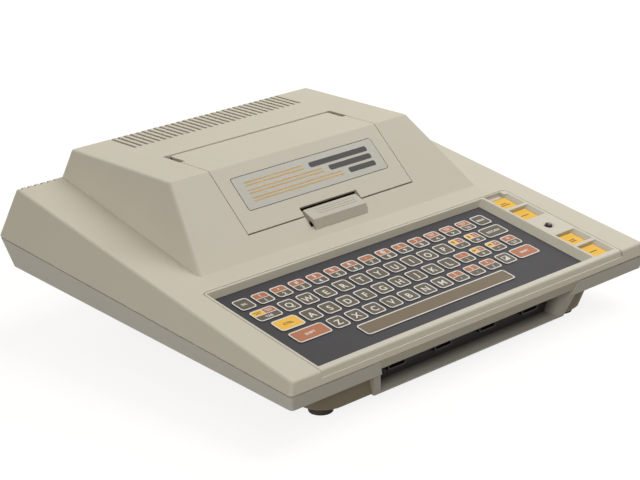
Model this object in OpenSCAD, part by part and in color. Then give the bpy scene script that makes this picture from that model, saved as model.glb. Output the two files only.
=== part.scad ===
// Wedge-shaped home computer with a flat membrane keyboard, a cartridge door in its hump,
// a bay of four controller jacks under the front edge and its other sockets on the right side.
// Millimetres. X runs to the right, Y to the back, Z up. The origin is on the desk, under the middle.

/* [Body] */
// Overall width, measured at the seam between the two case halves
body_w = 343; // [330:1:360]
// Overall depth, measured at the same seam
body_d = 292; // [284:1:310]
// Overall height at the rear edge of the hump
body_h = 114; // [110:1:125]
// Height of the seam at the front
seam_front_z = 35; // [33:0.5:37]
// Height of the seam at the back
seam_rear_z = 64; // [60:0.5:67]
// Height of the deck's front edge
deck_front_z = 42.6; // [41.5:0.1:44]
// Slope of the deck
deck_angle = 10.54; // [10:0.02:11]
// How far the upper case leans in at its sides, per millimetre of height
side_draft = 0.42; // [0.35:0.01:0.45]
// How far the upper case leans in at its front
front_draft = 0.32; // [0.25:0.01:0.4]
// How far the upper case leans in at its back
rear_draft = 0.15; // [0.1:0.01:0.2]
// Thickness of the case walls
wall = 2.5; // [2:0.1:3]
// Radius on the edges of the upper case
edge_r = 2.5; // [2:0.25:4]

/* [Hump] */
// Width of the flat top of the hump
hump_top_w = 224; // [214:1:234]
// How far the sides of the hump lean in, per millimetre of height
hump_side_draft = 0.41; // [0.35:0.01:0.45]
// Y of the crease between the top of the hump and its front face
hump_crease_y = 31.7; // [28:0.1:36]
// Height of that crease
hump_crease_z = 113.3; // [112:0.1:113.8]
// Angle of the hump's front face
hump_face_angle = 42.8; // [41:0.1:45]
// Number of vent slots in the top of the hump
vent_count = 30; // [24:1:32]
// Pitch of the vent slots
vent_pitch = 5.4; // [5:0.1:6]
// Width of one vent slot
vent_w = 2.6; // [2:0.1:3]
// Y where the vent slots in the hump begin
vent_front_y = 109; // [100:1:120]

/* [Lower case] */
// Height of the lower case's band at the front
lip_front_h = 11.5; // [9:0.5:12]
// Height of the band at the back
lip_rear_h = 22; // [20:0.5:24]
// How far the band leans in below the seam, per millimetre
lip_draft = 0.27; // [0.2:0.01:0.35]
// Height of the dark groove along the seam
seam_groove_h = 1.4; // [0.8:0.1:2]
// Depth of that groove
seam_groove_d = 1.1; // [0.8:0.1:1.3]
// X of the left side of the tub under the band
tub_left = -136; // [-140:1:-130]
// X of the right side of the tub
tub_right = 121; // [120:0.5:122]
// Y of the front of the tub
tub_front = -134.5; // [-135.5:0.5:-133]
// Y of the back of the tub
tub_rear = 98; // [97:0.5:102]
// Corner radius of the tub
tub_r = 18; // [15:1:20]
// How far the tub flares out towards the band, per millimetre
tub_draft = 0.5; // [0.4:0.05:0.6]
// Thickness of the tub's floor
floor_t = 2.2; // [2:0.1:2.6]
// Diameter of a rubber foot
foot_d = 17; // [14:1:18]
// Height of a rubber foot
foot_h = 7; // [5:0.5:9]
// X of the front feet
front_foot_x = 120; // [110:1:122]
// Y of the front feet
front_foot_y = -117; // [-118:1:-112]
// X of the rear feet
rear_foot_x = 102; // [95:1:105]
// Y of the rear feet
rear_foot_y = 80; // [70:1:82]
// How much nearer to the middle the right front foot stands
foot_shift = 7.5; // [7:0.5:10]

/* [Controller bay] */
// Half width of the bay at the seam
bay_top_half = 96.5; // [94:0.5:99]
// Half width of the bay at its floor
bay_low_half = 86; // [84.5:0.5:88]
// Y of the front edge of the bay's floor
bay_floor_y = -136; // [-138:0.5:-135.6]
// Y of the face of the jack panel
jack_panel_y = -123.5; // [-125:0.5:-122.5]
// Width of the bay's frame as seen from the front
bay_frame_w = 6; // [4:0.5:8]
// How far the upper case's skirt hangs below the seam into the bay
skirt_h = 7.6; // [6:0.2:9]
// Distance between the middles of two jacks
jack_pitch = 43; // [38:0.5:44]
// Height of the middle of the jacks above the main board
jack_z = 6.4; // [6.2:0.1:7]

/* [Keyboard] */
// Half width of the keyboard's surround
bezel_half_w = 144.2; // [143:0.1:146]
// Depth of the surround up the deck
bezel_len = 109.3; // [108:0.1:110]
// Gap round the surround
bezel_gap = 0.55; // [0.2:0.05:0.6]
// Left edge of the window over the keys
window_left = -142.4; // [-143:0.1:-142]
// Right edge of the window over the keys
window_right = 116.3; // [115:0.1:117]
// Depth of the window, from the deck down to the keys
window_depth = 5; // [4.5:0.1:5.5]
// Thickness of the printed key sheet
sheet_t = 0.8; // [0.5:0.1:1]
// Thickness of the contact layers under it
contact_t = 1.2; // [0.8:0.1:1.5]
// Thickness of the steel plate under them
plate_t = 1.4; // [1:0.1:1.6]
// Pitch of the keys along a row
key_pitch = 16; // [15.5:0.05:16.1]
// Pitch of the rows
row_pitch = 16.2; // [15.6:0.05:16.4]
// Width of a letter key
key_w = 12.7; // [11:0.1:13.2]
// Height by which a key's area stands above the sheet
key_rise = 0.5; // [0.3:0.1:0.8]

/* [Console keys] */
// X of the middle of the console keys
console_x = 129.9; // [129.5:0.1:130.2]
// Width of a console key
console_key_w = 17.1; // [16:0.1:17.3]
// Length of a console key
console_key_l = 16.1; // [15:0.1:16.3]
// Pitch of two console keys in a pair
console_pitch = 19.4; // [19:0.1:19.5]
// Depth of the keys' tops below the deck
console_drop = 2.3; // [1.8:0.1:2.8]
// Travel of a console key
console_travel = 1.5; // [1:0.1:1.6]
// Running gap round a console key
console_gap = 0.3; // [0.2:0.05:0.4]
// Diameter of the power light
led_d = 5.4; // [4:0.1:5.6]

/* [Door and latch] */
// Half width of the cartridge door
door_half_w = 78.2; // [76:0.1:80]
// Y of the door's rear edge
door_rear_y = 77.6; // [74:0.2:80]
// How far the door reaches down the hump's front face
door_reach = 51.8; // [50:0.2:53.5]
// Gap round the door
door_gap = 0.6; // [0.4:0.05:0.9]
// Gap below the door's lower edge
door_low_gap = 1.1; // [0.5:0.1:1.2]
// Width of the slots at the door's rear corners
notch_w = 4.6; // [4:0.1:6]
// Length of those slots
notch_len = 18; // [14:0.5:20]
// Radius of the door's hinge knuckle
knuckle_r = 2.3; // [2:0.1:2.4]
// Diameter of the hinge pins
hinge_pin_d = 3; // [2.4:0.1:3.2]
// Radial running clearance of the hinge pins
pin_clear = 0.06; // [0.02:0.01:0.1]
// Width of the latch
latch_w = 50; // [44:0.5:50]
// Travel of the latch
latch_travel = 4; // [3:0.1:4.5]
// Width of the nameplate
nameplate_w = 133; // [120:1:140]
// Height of the nameplate
nameplate_h = 26.4; // [22:0.2:28]
// Distance of the nameplate's top edge from the crease
nameplate_top = 10; // [8:0.2:13]
// Thickness of the nameplate
nameplate_t = 0.6; // [0.4:0.1:0.8]

/* [Inside] */
// Thickness of the circuit boards
board_t = 1.6; // [1.4:0.1:1.8]
// Height of the underside of the main board above the desk
board_z = 12.6; // [12:0.1:13.5]
// Thickness of the cast shields
shield_t = 2; // [1.6:0.1:2.4]
// Height of the flat part of the upper shield above the desk
shield_top_z = 38; // [36:0.5:40]
// Width of the cartridge well
well_w = 80; // [78:0.5:84]
// Depth of the cartridge well from front to back
well_d = 22; // [20:0.5:23]
// Y of the middle of the cartridge well
well_y = 41; // [40:0.5:42]
// Diameter of the case screws
screw_d = 3.2; // [2.8:0.1:3.6]

/* [Side sockets] */
// X of the outer face of the socket wall
side_wall_x = 121.8; // [121.4:0.1:122.4]
// Thickness of the side panel's trim
side_trim_t = 1.6; // [1.2:0.1:2]
// Diameter of the bore of the power socket
power_bore_d = 6.3; // [5.8:0.1:6.6]
// Diameter of the pin in the power socket
power_pin_d = 2.1; // [1.9:0.1:2.5]
// Travel of the channel switch
channel_travel = 3; // [2.5:0.1:3.5]
// Diameter of the hole for the television lead
lead_bore_d = 5.2; // [4.5:0.1:6]

/* [Hidden] */
$fn = 32;

half_w = body_w / 2;
half_d = body_d / 2;
BIG = 600;

// The seam plane and the two reference frames on the deck and on the hump's front face
seam_slope = (seam_rear_z - seam_front_z) / body_d;
seam_mid_z = (seam_front_z + seam_rear_z) / 2;
seam_angle = atan(seam_slope);
lip_bottom_front = seam_front_z - lip_front_h;
lip_bottom_rear = seam_rear_z - lip_rear_h;
lip_angle = atan((lip_bottom_rear - lip_bottom_front) / body_d);
lip_mid_z = (lip_bottom_front + lip_bottom_rear) / 2;
deck_front_y = -half_d + front_draft * (deck_front_z - seam_front_z);
tub_z = foot_h;
floor_z = tub_z + floor_t;
board_top = board_z + board_t;

function seam_z(y) = seam_mid_z + seam_slope * y;
function lip_z(y) = lip_mid_z + tan(lip_angle) * y;
function deck_z(y) = deck_front_z + tan(deck_angle) * (y - deck_front_y);

// Flat faces of the case as [outward unit normal, distance from the origin]
function face(normal, point) = [normal / norm(normal), normal * point / norm(normal)];
function lowered(plane, by) = [plane[0], plane[1] - by];
// The point where three faces meet once each has been moved inwards by inset
function meet(a, b, c, inset) =
    ((a[1] - inset) * cross(b[0], c[0]) + (b[1] - inset) * cross(c[0], a[0])
        + (c[1] - inset) * cross(a[0], b[0])) / (a[0] * cross(b[0], c[0]));

seam_front = [0, -half_d, seam_front_z];
seam_rear = [0, half_d, seam_rear_z];
function seam_side(s) = [s * half_w, -half_d, seam_front_z];
function upper_side(s) = face([s, -side_draft * seam_slope, side_draft], seam_side(s));
function lower_side(s) = face([s, lip_draft * seam_slope, -lip_draft], seam_side(s));
upper_front = face([0, -1, front_draft], seam_front);
upper_rear = face([0, 1, rear_draft], seam_rear);
lower_front = face([0, -1, -lip_draft], seam_front);
lower_rear = face([0, 1, -lip_draft], seam_rear);
deck_face = face([0, -sin(deck_angle), cos(deck_angle)], [0, deck_front_y, deck_front_z]);
seam_face = face([0, sin(seam_angle), -cos(seam_angle)], [0, 0, seam_mid_z]);
seam_up = face([0, -sin(seam_angle), cos(seam_angle)], [0, 0, seam_mid_z]);
lip_face = face([0, sin(lip_angle), -cos(lip_angle)], [0, 0, lip_mid_z]);
hump_rear_y = half_d - rear_draft * (body_h - seam_rear_z);
hump_top_slope = (body_h - hump_crease_z) / (hump_rear_y - hump_crease_y);
hump_top = face([0, -hump_top_slope, 1], [0, hump_rear_y, body_h]);
hump_face = face([0, -sin(hump_face_angle), cos(hump_face_angle)], [0, hump_crease_y, hump_crease_z]);
function hump_side(s) = face([s, 0, hump_side_draft], [s * hump_top_w / 2, 0, body_h]);

key_row_v = 90.6;
key_r = 2.6;
// Even runs of keys as [row, x of the first key's middle, number of keys]
key_runs = [[0, -125, 15], [1, -101, 12], [2, -97, 13], [3, -89, 11]];
// Wide keys as [row, x of the middle, width]
wide_keys = [
    [1, -120.8, 20], [1, 94.3, 21.2],
    [2, -116.8, 20.6],
    [3, -113, 28.6], [3, 90.5, 21.2],
    [4, -13.6, 140.2]];

window_front_v = 4.7;
window_rear_v = 107.6;
window_taper = 1.4;
window_front_taper = 2.6;
bezel_flange_t = 2.3;
bezel_set_back = 0.6;
bezel_wrap_w = 3.9;
bezel_wrap_v = 0.5;
ledge_w = 1.4;
console_v = [95.6, 76, 32.5, 12.9];
led_v = 54.3;
well_slope_w = 3.3;
console_board_w = -11;
console_board_t = 1.4;
key_flange = 1;
key_body_h = 4;

hinge_z = hump_top_z(door_rear_y) - knuckle_r - 0.05;
hinge_y = door_rear_y - knuckle_r;
function hump_top_z(y) = body_h + hump_top_slope * (y - hump_rear_y);

case_screw_spots = [[156, -100], [156, 30], [140, 118]];
screw_boss_r = 4.5;
shield_spots = [[-100, -78], [-100, 76], [51, -78], [51, 76]];
jack_count = 4;
function jack_x(i) = (i - (jack_count - 1) / 2) * jack_pitch;
jack_mid_z = board_top + jack_z;
card_ys = [62, 78];

module on_deck() {
    translate([0, deck_front_y, deck_front_z]) rotate([deck_angle, 0, 0]) children();
}

module on_hump_face() {
    translate([0, hump_crease_y, hump_crease_z]) rotate([hump_face_angle, 0, 0]) children();
}

// A profile in Y and Z carried along X from x0 to x1
module along_x(x0, x1) {
    translate([x0, 0, 0]) rotate([90, 0, 90]) linear_extrude(x1 - x0) children();
}

// A profile in X and Z carried along Y from y0 to y1
module along_y(y0, y1) {
    translate([0, y1, 0]) rotate([90, 0, 0]) linear_extrude(y1 - y0) children();
}

module above_seam(by = 0) {
    translate([0, 0, seam_mid_z]) rotate([seam_angle, 0, 0])
        translate([-BIG / 2, -BIG / 2, by]) cube([BIG, BIG, BIG / 2]);
}

module below_seam(by = 0) {
    translate([0, 0, seam_mid_z]) rotate([seam_angle, 0, 0])
        translate([-BIG / 2, -BIG / 2, by - BIG / 2]) cube([BIG, BIG, BIG / 2]);
}

// A box given by its lowest and highest corners
module box(low, high) {
    translate(low) cube(high - low);
}

function arc(x, y, r, from, steps = 5) =
    [for (i = [0:steps]) [x + r * cos(from + 90 * i / steps), y + r * sin(from + 90 * i / steps)]];
// Outline of a rectangle with round corners, about its middle
function round_rect(w, h, r) = concat(
    arc(w / 2 - r, h / 2 - r, r, 0), arc(r - w / 2, h / 2 - r, r, 90),
    arc(r - w / 2, r - h / 2, r, 180), arc(w / 2 - r, r - h / 2, r, 270));

// A round-edged block between two end faces, two side faces and two level faces
module block(sides, ends, levels, inset, r) {
    hull()
        for (s = sides)
            for (e = ends)
                for (l = levels)
                    translate(meet(s, e, l, inset + r)) sphere(r);
}

module upper_wedge(inset, r) {
    block([upper_side(-1), upper_side(1)], [upper_front, upper_rear],
        [deck_face, lowered(seam_face, -12)], inset, r);
}

module hump(inset, r) {
    hull() {
        for (s = [-1, 1]) {
            translate(meet(hump_side(s), upper_rear, hump_top, inset + r)) sphere(r);
            translate(meet(hump_side(s), hump_face, hump_top, inset + r)) sphere(r);
            translate(meet(hump_side(s), hump_face, lowered(deck_face, 8), inset + r)) sphere(r);
            translate(meet(hump_side(s), upper_rear, lowered(deck_face, 8), inset + r)) sphere(r);
        }
    }
}

module lip_block(inset, r) {
    block([lower_side(-1), lower_side(1)], [lower_front, lower_rear],
        [lowered(seam_up, -12), lowered(lip_face, -12)], inset, r);
}

tub_top_z = 45;
tub_front_draft = 0.15;
tub_rear_draft = 0.5;
tub_chamfer = 1.5;
// Corners of the tub as [x, y, direction in which each flares out]
tub_corners = [
    [tub_left, tub_front, -1, -tub_front_draft / tub_draft],
    [tub_right, tub_front, 1, -tub_front_draft / tub_draft],
    [tub_left + 12, tub_rear, -1, tub_rear_draft / tub_draft],
    [tub_right, tub_rear, 1, tub_rear_draft / tub_draft]];

module tub(inset, low) {
    hull()
        for (c = tub_corners)
            for (lvl = [[low, tub_chamfer], [low + tub_chamfer, 0], [tub_top_z, 0]]) {
                out = tub_draft * (lvl[0] - tub_z);
                sx = c[0] < 0 ? 1 : -1;
                sy = c[1] < 0 ? 1 : -1;
                translate([c[0] + c[2] * out + sx * tub_r, c[1] + c[3] * out + sy * tub_r, lvl[0]])
                    cylinder(r = tub_r - inset - lvl[1], h = 0.1);
            }
}

// Outline of the bay seen from the front, grown by out on each side
function bay_half(z) = bay_low_half
    + (bay_top_half - bay_low_half) * (z - tub_z) / (seam_front_z - tub_z);
module bay_outline(z0, z1, out) {
    polygon([[-bay_half(z0) - out, z0], [bay_half(z0) + out, z0],
        [bay_half(z1) + out, z1], [-bay_half(z1) - out, z1]]);
}
// Y of the slanted front edge of the bay's frame
function frame_y(z) = bay_floor_y - (z - tub_z) * (half_d - 0.6 + bay_floor_y) / (seam_front_z - tub_z);

module case_bosses() {
    for (s = [-1, 1])
        for (p = case_screw_spots)
            translate([s * p[0], p[1], 20]) cylinder(r = screw_boss_r, h = 100);
}

// ---- Upper case ----

module hump_vents() {
    first = -(vent_count - 1) * vent_pitch / 2;
    for (i = [0:vent_count - 1])
        box([first + i * vent_pitch - vent_w / 2, vent_front_y, body_h - 16],
            [first + i * vent_pitch + vent_w / 2, half_d + 10, body_h + 10]);
}

wing_vent_count = 6;
wing_vent_x = 128.5;
module wing_vents() {
    edge_y = half_d - rear_draft * (deck_z(half_d) - seam_rear_z);
    for (s = [-1, 1])
        for (i = [0:wing_vent_count - 1])
            box([s * (wing_vent_x + i * vent_pitch) - vent_w / 2, edge_y - wall - 1, deck_z(half_d) - 20],
                [s * (wing_vent_x + i * vent_pitch) + vent_w / 2, half_d + 10, body_h]);
}

// The space that the door fills, from just behind its rear edge over the crease and down the face
module door_space(gap, deep, low_gap = 0) {
    reach = door_reach + low_gap;
    low_z = hump_crease_z - 12;
    bend = (hump_crease_z - low_z - deep * cos(hump_face_angle)) / sin(hump_face_angle);
    along_x(-door_half_w - gap, door_half_w + gap)
        polygon([[face_y(reach, deep), face_z(reach, deep)], [face_y(reach, -20), face_z(reach, -20)],
            [face_y(reach, -20), body_h + 5], [door_rear_y + gap, body_h + 5],
            [door_rear_y + gap, low_z], [face_y(bend, deep), low_z]]);
}
// Y and Z of a point s down the hump's front face from the crease and d under that face
function face_y(s, d) = hump_crease_y - s * cos(hump_face_angle) + d * sin(hump_face_angle);
function face_z(s, d) = hump_crease_z - s * sin(hump_face_angle) - d * cos(hump_face_angle);

// Slots at the door's rear corners, where the hinge shows
module hinge_notches() {
    for (s = [-1, 1]) {
        near = door_half_w + door_gap + 0.6 - notch_w;
        far = near + notch_w;
        box([min(s * near, s * far), door_rear_y + door_gap - notch_len, hinge_z - 8],
            [max(s * near, s * far), door_rear_y + door_gap, body_h + 5]);
    }
}

latch_top_s = 47.4;
latch_low_s = 64;
latch_recess_half = 27.3;
latch_recess_s = 45;
latch_slot_s = 61;
// Opening under the latch, shared by the door's lower edge and the face below it
module latch_recess() {
    on_hump_face() box([-latch_recess_half, -latch_slot_s, -12],
        [latch_recess_half, -latch_recess_s, 8]);
}

hinge_lug_w = 7;
lug_x = door_half_w + door_gap + 0.6;
module hinge_lugs() {
    for (s = [-1, 1])
        translate([s * (lug_x + hinge_lug_w / 2), hinge_y, hinge_z])
            box([-hinge_lug_w / 2, -4.5, -4.5], [hinge_lug_w / 2, 4.5, 1.8]);
}

module bezel_ledge() {
    on_deck() difference() {
        box([-bezel_half_w - 3, 0.5, -6], [bezel_half_w + 3, bezel_len + 3, -wall + 0.4]);
        box([-bezel_half_w + ledge_w, 2.1, -7], [bezel_half_w - ledge_w, bezel_len - ledge_w - 0.4, 0]);
    }
}

module bezel_opening() {
    on_deck() {
        translate([0, (bezel_len - 30) / 2, -bezel_flange_t])
            linear_extrude(30)
                polygon(round_rect(2 * (bezel_half_w + bezel_gap), bezel_len + 30 + 2 * bezel_gap, 3.4));
        box([-bezel_half_w + ledge_w, 2.1, -30], [bezel_half_w - ledge_w, bezel_len - ledge_w - 0.4, 20]);
        box([-bezel_half_w - bezel_gap, -10, -bezel_wrap_w],
            [bezel_half_w + bezel_gap, bezel_wrap_v + 0.2, -1]);
    }
}

// Rests under the door's lower edge, hung from the skin just below it
module door_ledge() {
    on_hump_face()
        for (s = [-1, 1]) {
            box([s * 52 - 16, -door_reach - 4, -wall - 2.9], [s * 52 + 16, -door_reach + 2.5, -wall - 0.7]);
            box([s * 52 - 16, -door_reach - 4, -wall - 2.9], [s * 52 + 16, -door_reach - 1.4, -wall + 0.4]);
        }
}

tab_boss_r = 3.2;
tab_boss_h = 4;
module keyboard_bosses() {
    on_deck()
        for (t = plate_tabs)
            translate([t[0], t[1], plate_w]) cylinder(r = tab_boss_r, h = -wall - plate_w + 0.4);
}

spring_s = 67.2;
module latch_bracket() {
    on_hump_face()
        box([-9, -spring_s - 2.2, -9], [9, -spring_s, -wall + 0.4]);
}

module skirt() {
    clear = 0.6;
    intersection() {
        along_x(-bay_top_half, bay_top_half)
            polygon([[-half_d, seam_front_z + 0.4], [-half_d + 0.47 * skirt_h, seam_front_z - skirt_h],
                [-half_d + 0.47 * skirt_h + wall, seam_front_z - skirt_h],
                [-half_d + wall, seam_front_z + 0.4]]);
        along_y(-half_d - 2, -half_d + 20)
            bay_outline(seam_front_z - skirt_h - 1, seam_front_z + 1, -clear);
    }
}

module top_case() {
    color("#cbc4b3") difference() {
        union() {
            intersection() {
                difference() {
                    union() {
                        upper_wedge(0, edge_r);
                        hump(0, edge_r);
                    }
                    difference() {
                        union() {
                            upper_wedge(wall, 0.5);
                            hump(wall, 0.5);
                        }
                        case_bosses();
                        bezel_ledge();
                        keyboard_bosses();
                        hinge_lugs();
                        door_ledge();
                        latch_bracket();
                    }
                }
                above_seam();
            }
            skirt();
        }
        hump_vents();
        wing_vents();
        door_space(door_gap, wall + 0.6, door_low_gap);
        hinge_notches();
        intersection() {
            latch_recess();
            on_hump_face() box([-BIG, -BIG, -wall - 0.5], [BIG, 0, 20]);
        }
        bezel_opening();
        for (s = [-1, 1])
            for (p = case_screw_spots)
                translate([s * p[0], p[1], 20]) cylinder(r = screw_d / 2 + 0.05, h = deck_z(p[1]) - 25);
        on_deck()
            for (t = plate_tabs)
                translate([t[0], t[1], plate_w - 1]) cylinder(r = small_screw_r + 0.05, h = tab_boss_h + 1);
        for (s = [-1, 1])
            translate([s * (lug_x + hinge_lug_w - 2.2), hinge_y, hinge_z])
                rotate([0, -s * 90, 0]) cylinder(r = hinge_pin_d / 2 + pin_clear, h = 12);
    }
}

// ---- Lower case ----

module lip_shell() {
    difference() {
        union() {
            intersection() {
                lip_block(0, edge_r);
                below_seam(-seam_groove_h);
            }
            intersection() {
                lip_block(seam_groove_d, edge_r);
                below_seam();
            }
        }
        below_lip();
        difference() {
            lip_block(wall, 0.5);
            below_lip(wall);
        }
    }
}

module below_lip(by = 0) {
    translate([0, 0, lip_mid_z]) rotate([lip_angle, 0, 0])
        translate([-BIG / 2, -BIG / 2, by - BIG / 2]) cube([BIG, BIG, BIG / 2]);
}

bay_wall = 2.2;
bay_floor_z = tub_z + 1.6;
module bay_frame_profile() {
    polygon([[frame_y(tub_z), tub_z], [frame_y(seam_front_z + 2), seam_front_z + 2],
        [tub_front + 1, seam_front_z + 2], [tub_front + 1, tub_z]]);
}

module bay_box() {
    intersection() {
        along_y(-half_d - 2, tub_front + 1) bay_outline(tub_z, seam_front_z + 2, bay_frame_w);
        along_x(-half_w, half_w) bay_frame_profile();
    }
    along_y(tub_front, jack_panel_y + panel_t)
        bay_outline(tub_z, seam_front_z + 2, bay_wall);
}

module bay_space() {
    along_y(-half_d - 5, jack_panel_y + panel_t + 1)
        bay_outline(bay_floor_z, seam_front_z + 12, 0);
}

side_recess_y0 = -74;
side_recess_y1 = 72;
side_recess_z = 9.6;
side_recess_drop = 0.7;
side_wall_t = 2.4;
module side_recess(out) {
    along_x(side_wall_x - out, half_w)
        polygon([[side_recess_y0 - out, side_recess_z - out], [side_recess_y1 + out, side_recess_z - out],
            [side_recess_y1 + out, lip_z(side_recess_y1) - side_recess_drop + out],
            [side_recess_y0 - out, lip_z(side_recess_y0) - side_recess_drop + out]]);
}

// Posts that carry the boards: [x, y]
board_posts = [[-100, -112], [80, -112], [112, -74], [68, 82], [112, 82]];
post_r = 3;

module bottom_case() {
    color("#857c6c") difference() {
        union() {
            difference() {
                union() {
                    lip_shell();
                    intersection() {
                        tub(0, tub_z);
                        below_lip(wall);
                    }
                }
                tub(floor_t, floor_z);
            }
            intersection() {
                union()
                    for (s = [-1, 1])
                        for (p = case_screw_spots)
                            translate([s * p[0], p[1], lip_z(p[1]) + 1]) cylinder(r = screw_boss_r, h = 40);
                below_seam();
            }
            for (p = board_posts)
                translate([p[0], p[1], tub_z + 1]) cylinder(r = post_r, h = board_z - tub_z - 1);
        }
        bay_box();
        bay_space();
        socket_bay_block();
        for (s = [-1, 1])
            for (p = case_screw_spots)
                translate([s * p[0], p[1], 0]) {
                    cylinder(r = screw_d / 2 + 0.2, h = 90);
                    cylinder(r = case_head_r + 0.3, h = lip_z(p[1]) + case_head_z);
                }
    }
}

// Frame, side walls and floor of the bay under the front edge, let into the lower case
module jack_bay() {
    color("#857c6c") difference() {
        intersection() {
            bay_box();
            below_seam();
        }
        bay_space();
        on_deck() box([-half_w, 0.5, plate_bottom_w - 0.5], [half_w, 40, 0]);
    }
}

module socket_bay_block() {
    intersection() {
        side_recess(side_wall_t);
        tub(0, tub_z);
        below_lip(wall);
    }
}

// The sockets' recess carried inward through the wall behind it
module recess_through() {
    translate([side_wall_x - half_w, 0, 0]) side_recess(0);
    side_recess(0);
}

// Frame of the recess for the sockets on the right side, let into the lower case
module socket_bay() {
    color("#857c6c") difference() {
        socket_bay_block();
        recess_through();
    }
}

// Wall at the inner end of that recess, with the sockets' openings
module socket_wall() {
    color("#857c6c") difference() {
        intersection() {
            socket_bay_block();
            recess_through();
            box([side_wall_x - side_wall_t, -BIG, 0], [side_wall_x, BIG, BIG]);
        }
        side_cutouts(0.3, side_wall_x - side_wall_t - 2, side_wall_x + 1);
    }
}

module rubber_feet() {
    color("#2b2a28")
        for (p = [[-front_foot_x, front_foot_y], [front_foot_x - foot_shift, front_foot_y],
            [-rear_foot_x, rear_foot_y], [rear_foot_x, rear_foot_y]])
            translate([p[0], p[1], 0]) rotate_extrude()
                polygon(concat([[0, 0], [foot_d / 2 - 2, 0]],
                    [for (a = [-90:18:0]) [foot_d / 2 - 1.5 + cos(a), 1 + sin(a)]],
                    [[foot_d / 2, foot_h], [0, foot_h]]));
}

case_head_r = 3;
case_head_z = 4.2;
case_head_h = 2.2;
screw_bite = 5;
module case_screws() {
    color("#b8b6b0")
        for (s = [-1, 1])
            for (p = case_screw_spots)
                translate([s * p[0], p[1], 0]) {
                    z = lip_z(p[1]) + case_head_z;
                    translate([0, 0, z]) cylinder(r = screw_d / 2, h = seam_z(p[1]) + screw_bite - z);
                    difference() {
                        translate([0, 0, z - case_head_h]) cylinder(r = case_head_r, h = case_head_h);
                        cross_slot(z - case_head_h, 1.2, 3.4);
                    }
                }
}

// The cross cut in a screw's head, from z upwards by deep
module cross_slot(z, deep, span) {
    for (a = [0, 90])
        rotate([0, 0, a]) translate([-span / 2, -0.4, z - 1]) cube([span, 0.8, deep + 1]);
}

// ---- Keyboard ----

sheet_left = window_left + 0.1;
sheet_right = window_right - 0.6;
sheet_front_v = 2.6;
sheet_rear_v = bezel_len - 2;
module window_cut() {
    on_deck() hull() {
        translate([0, 0, 0.5]) linear_extrude(0.1)
            window_outline(-0.1 * window_taper, -0.1 * window_front_taper);
        translate([0, 0, -window_depth - 0.5]) linear_extrude(0.1)
            window_outline(1.1 * window_taper, 1.1 * window_front_taper);
    }
}

module window_outline(inset, front_inset) {
    x0 = window_left + inset;
    x1 = window_right - inset;
    v0 = window_front_v + front_inset;
    v1 = window_rear_v - inset;
    translate([(x0 + x1) / 2, (v0 + v1) / 2]) polygon(round_rect(x1 - x0, v1 - v0, 0.8));
}

function key_half(gap) = [console_key_w / 2 + gap, console_key_l / 2 + gap];
module console_wells() {
    on_deck() {
        for (v = console_v) {
            h = key_half(console_gap);
            translate([console_x, v, -20]) linear_extrude(30) polygon(round_rect(2 * h[0], 2 * h[1], 0.8));
            translate([0, v - h[1], 0]) rotate([90, 0, 0]) mirror([0, 0, 1]) linear_extrude(2 * h[1])
                polygon([[console_x + h[0] - 0.5, -console_drop - 0.2], [console_x + h[0], -console_drop - 0.2],
                    [console_x + h[0] + well_slope_w, 0.1], [console_x + h[0] + well_slope_w, 4],
                    [console_x + h[0] - 0.5, 4]]);
        }
        box([console_x - console_key_w / 2 - console_gap, console_v[0], -console_drop - 0.2],
            [console_x + console_key_w / 2 + console_gap, bezel_len - 1, 6]);
        translate([console_x, led_v, -20]) cylinder(r = led_d / 2 + 0.2, h = 30);
        translate([console_x, led_v, 0]) rotate_extrude()
            polygon([[0, -1], [led_d / 2 + 0.2, -1], [led_d / 2 + 2.2, 0.01], [0, 0.01]]);
    }
}

console_post_v = [led_v - 6.4, led_v + 6.4];
console_post_r = 2.4;
small_screw_r = 1.2;
plate_post_v = [led_v - 9.5, led_v + 9.5];
plate_post_x = 117.9;
plate_post_r = 1.9;
plate_w = -window_depth - sheet_t - contact_t;

module keyboard_bezel() {
    color("#c9c4b4") difference() {
        union() {
            intersection() {
                translate([0, bezel_set_back, bezel_set_back * tan(deck_angle)]) upper_wedge(0, edge_r);
                on_deck() union() {
                    translate([0, (bezel_len - 30) / 2, -bezel_flange_t]) linear_extrude(20)
                        polygon(round_rect(2 * bezel_half_w, bezel_len + 30, 3));
                    box([-bezel_half_w, -10, -bezel_wrap_w], [bezel_half_w, bezel_wrap_v, -1]);
                    box([-bezel_half_w + ledge_w + 0.3, 2.4, -window_depth],
                        [bezel_half_w - ledge_w - 0.3, bezel_len - ledge_w - 0.7, -1]);
                }
            }
            on_deck() {
                for (v = console_post_v)
                    translate([console_x, v, console_board_w])
                        cylinder(r = console_post_r, h = -window_depth - console_board_w + 0.5);
                for (v = plate_post_v)
                    translate([plate_post_x, v, plate_w])
                        cylinder(r = plate_post_r, h = -window_depth - plate_w + 0.5);
            }
        }
        window_cut();
        console_wells();
        on_deck() {
            for (v = console_post_v)
                translate([console_x, v, console_board_w - 1]) cylinder(r = small_screw_r + 0.05, h = 6);
            for (v = plate_post_v)
                translate([plate_post_x, v, plate_w - 1]) cylinder(r = small_screw_r + 0.05, h = 4.6);
        }
    }
}

function row_v(i) = key_row_v - i * row_pitch;
// Middle and width of every key as [x, v, width]
keys = concat(
    [for (r = key_runs) for (i = [0:r[2] - 1]) [r[1] + i * key_pitch, row_v(r[0]), key_w]],
    [for (k = wide_keys) [k[1], row_v(k[0]), k[2]]]);

module keyboard_sheet() {
    color("#504d4e") on_deck() {
        box([sheet_left, sheet_front_v, -window_depth - sheet_t], [sheet_right, sheet_rear_v, -window_depth]);
        for (k = keys)
            translate([k[0], k[1], -window_depth - 0.1]) linear_extrude(key_rise + 0.1)
                polygon(round_rect(k[2], key_w, key_r));
    }
}

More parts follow.
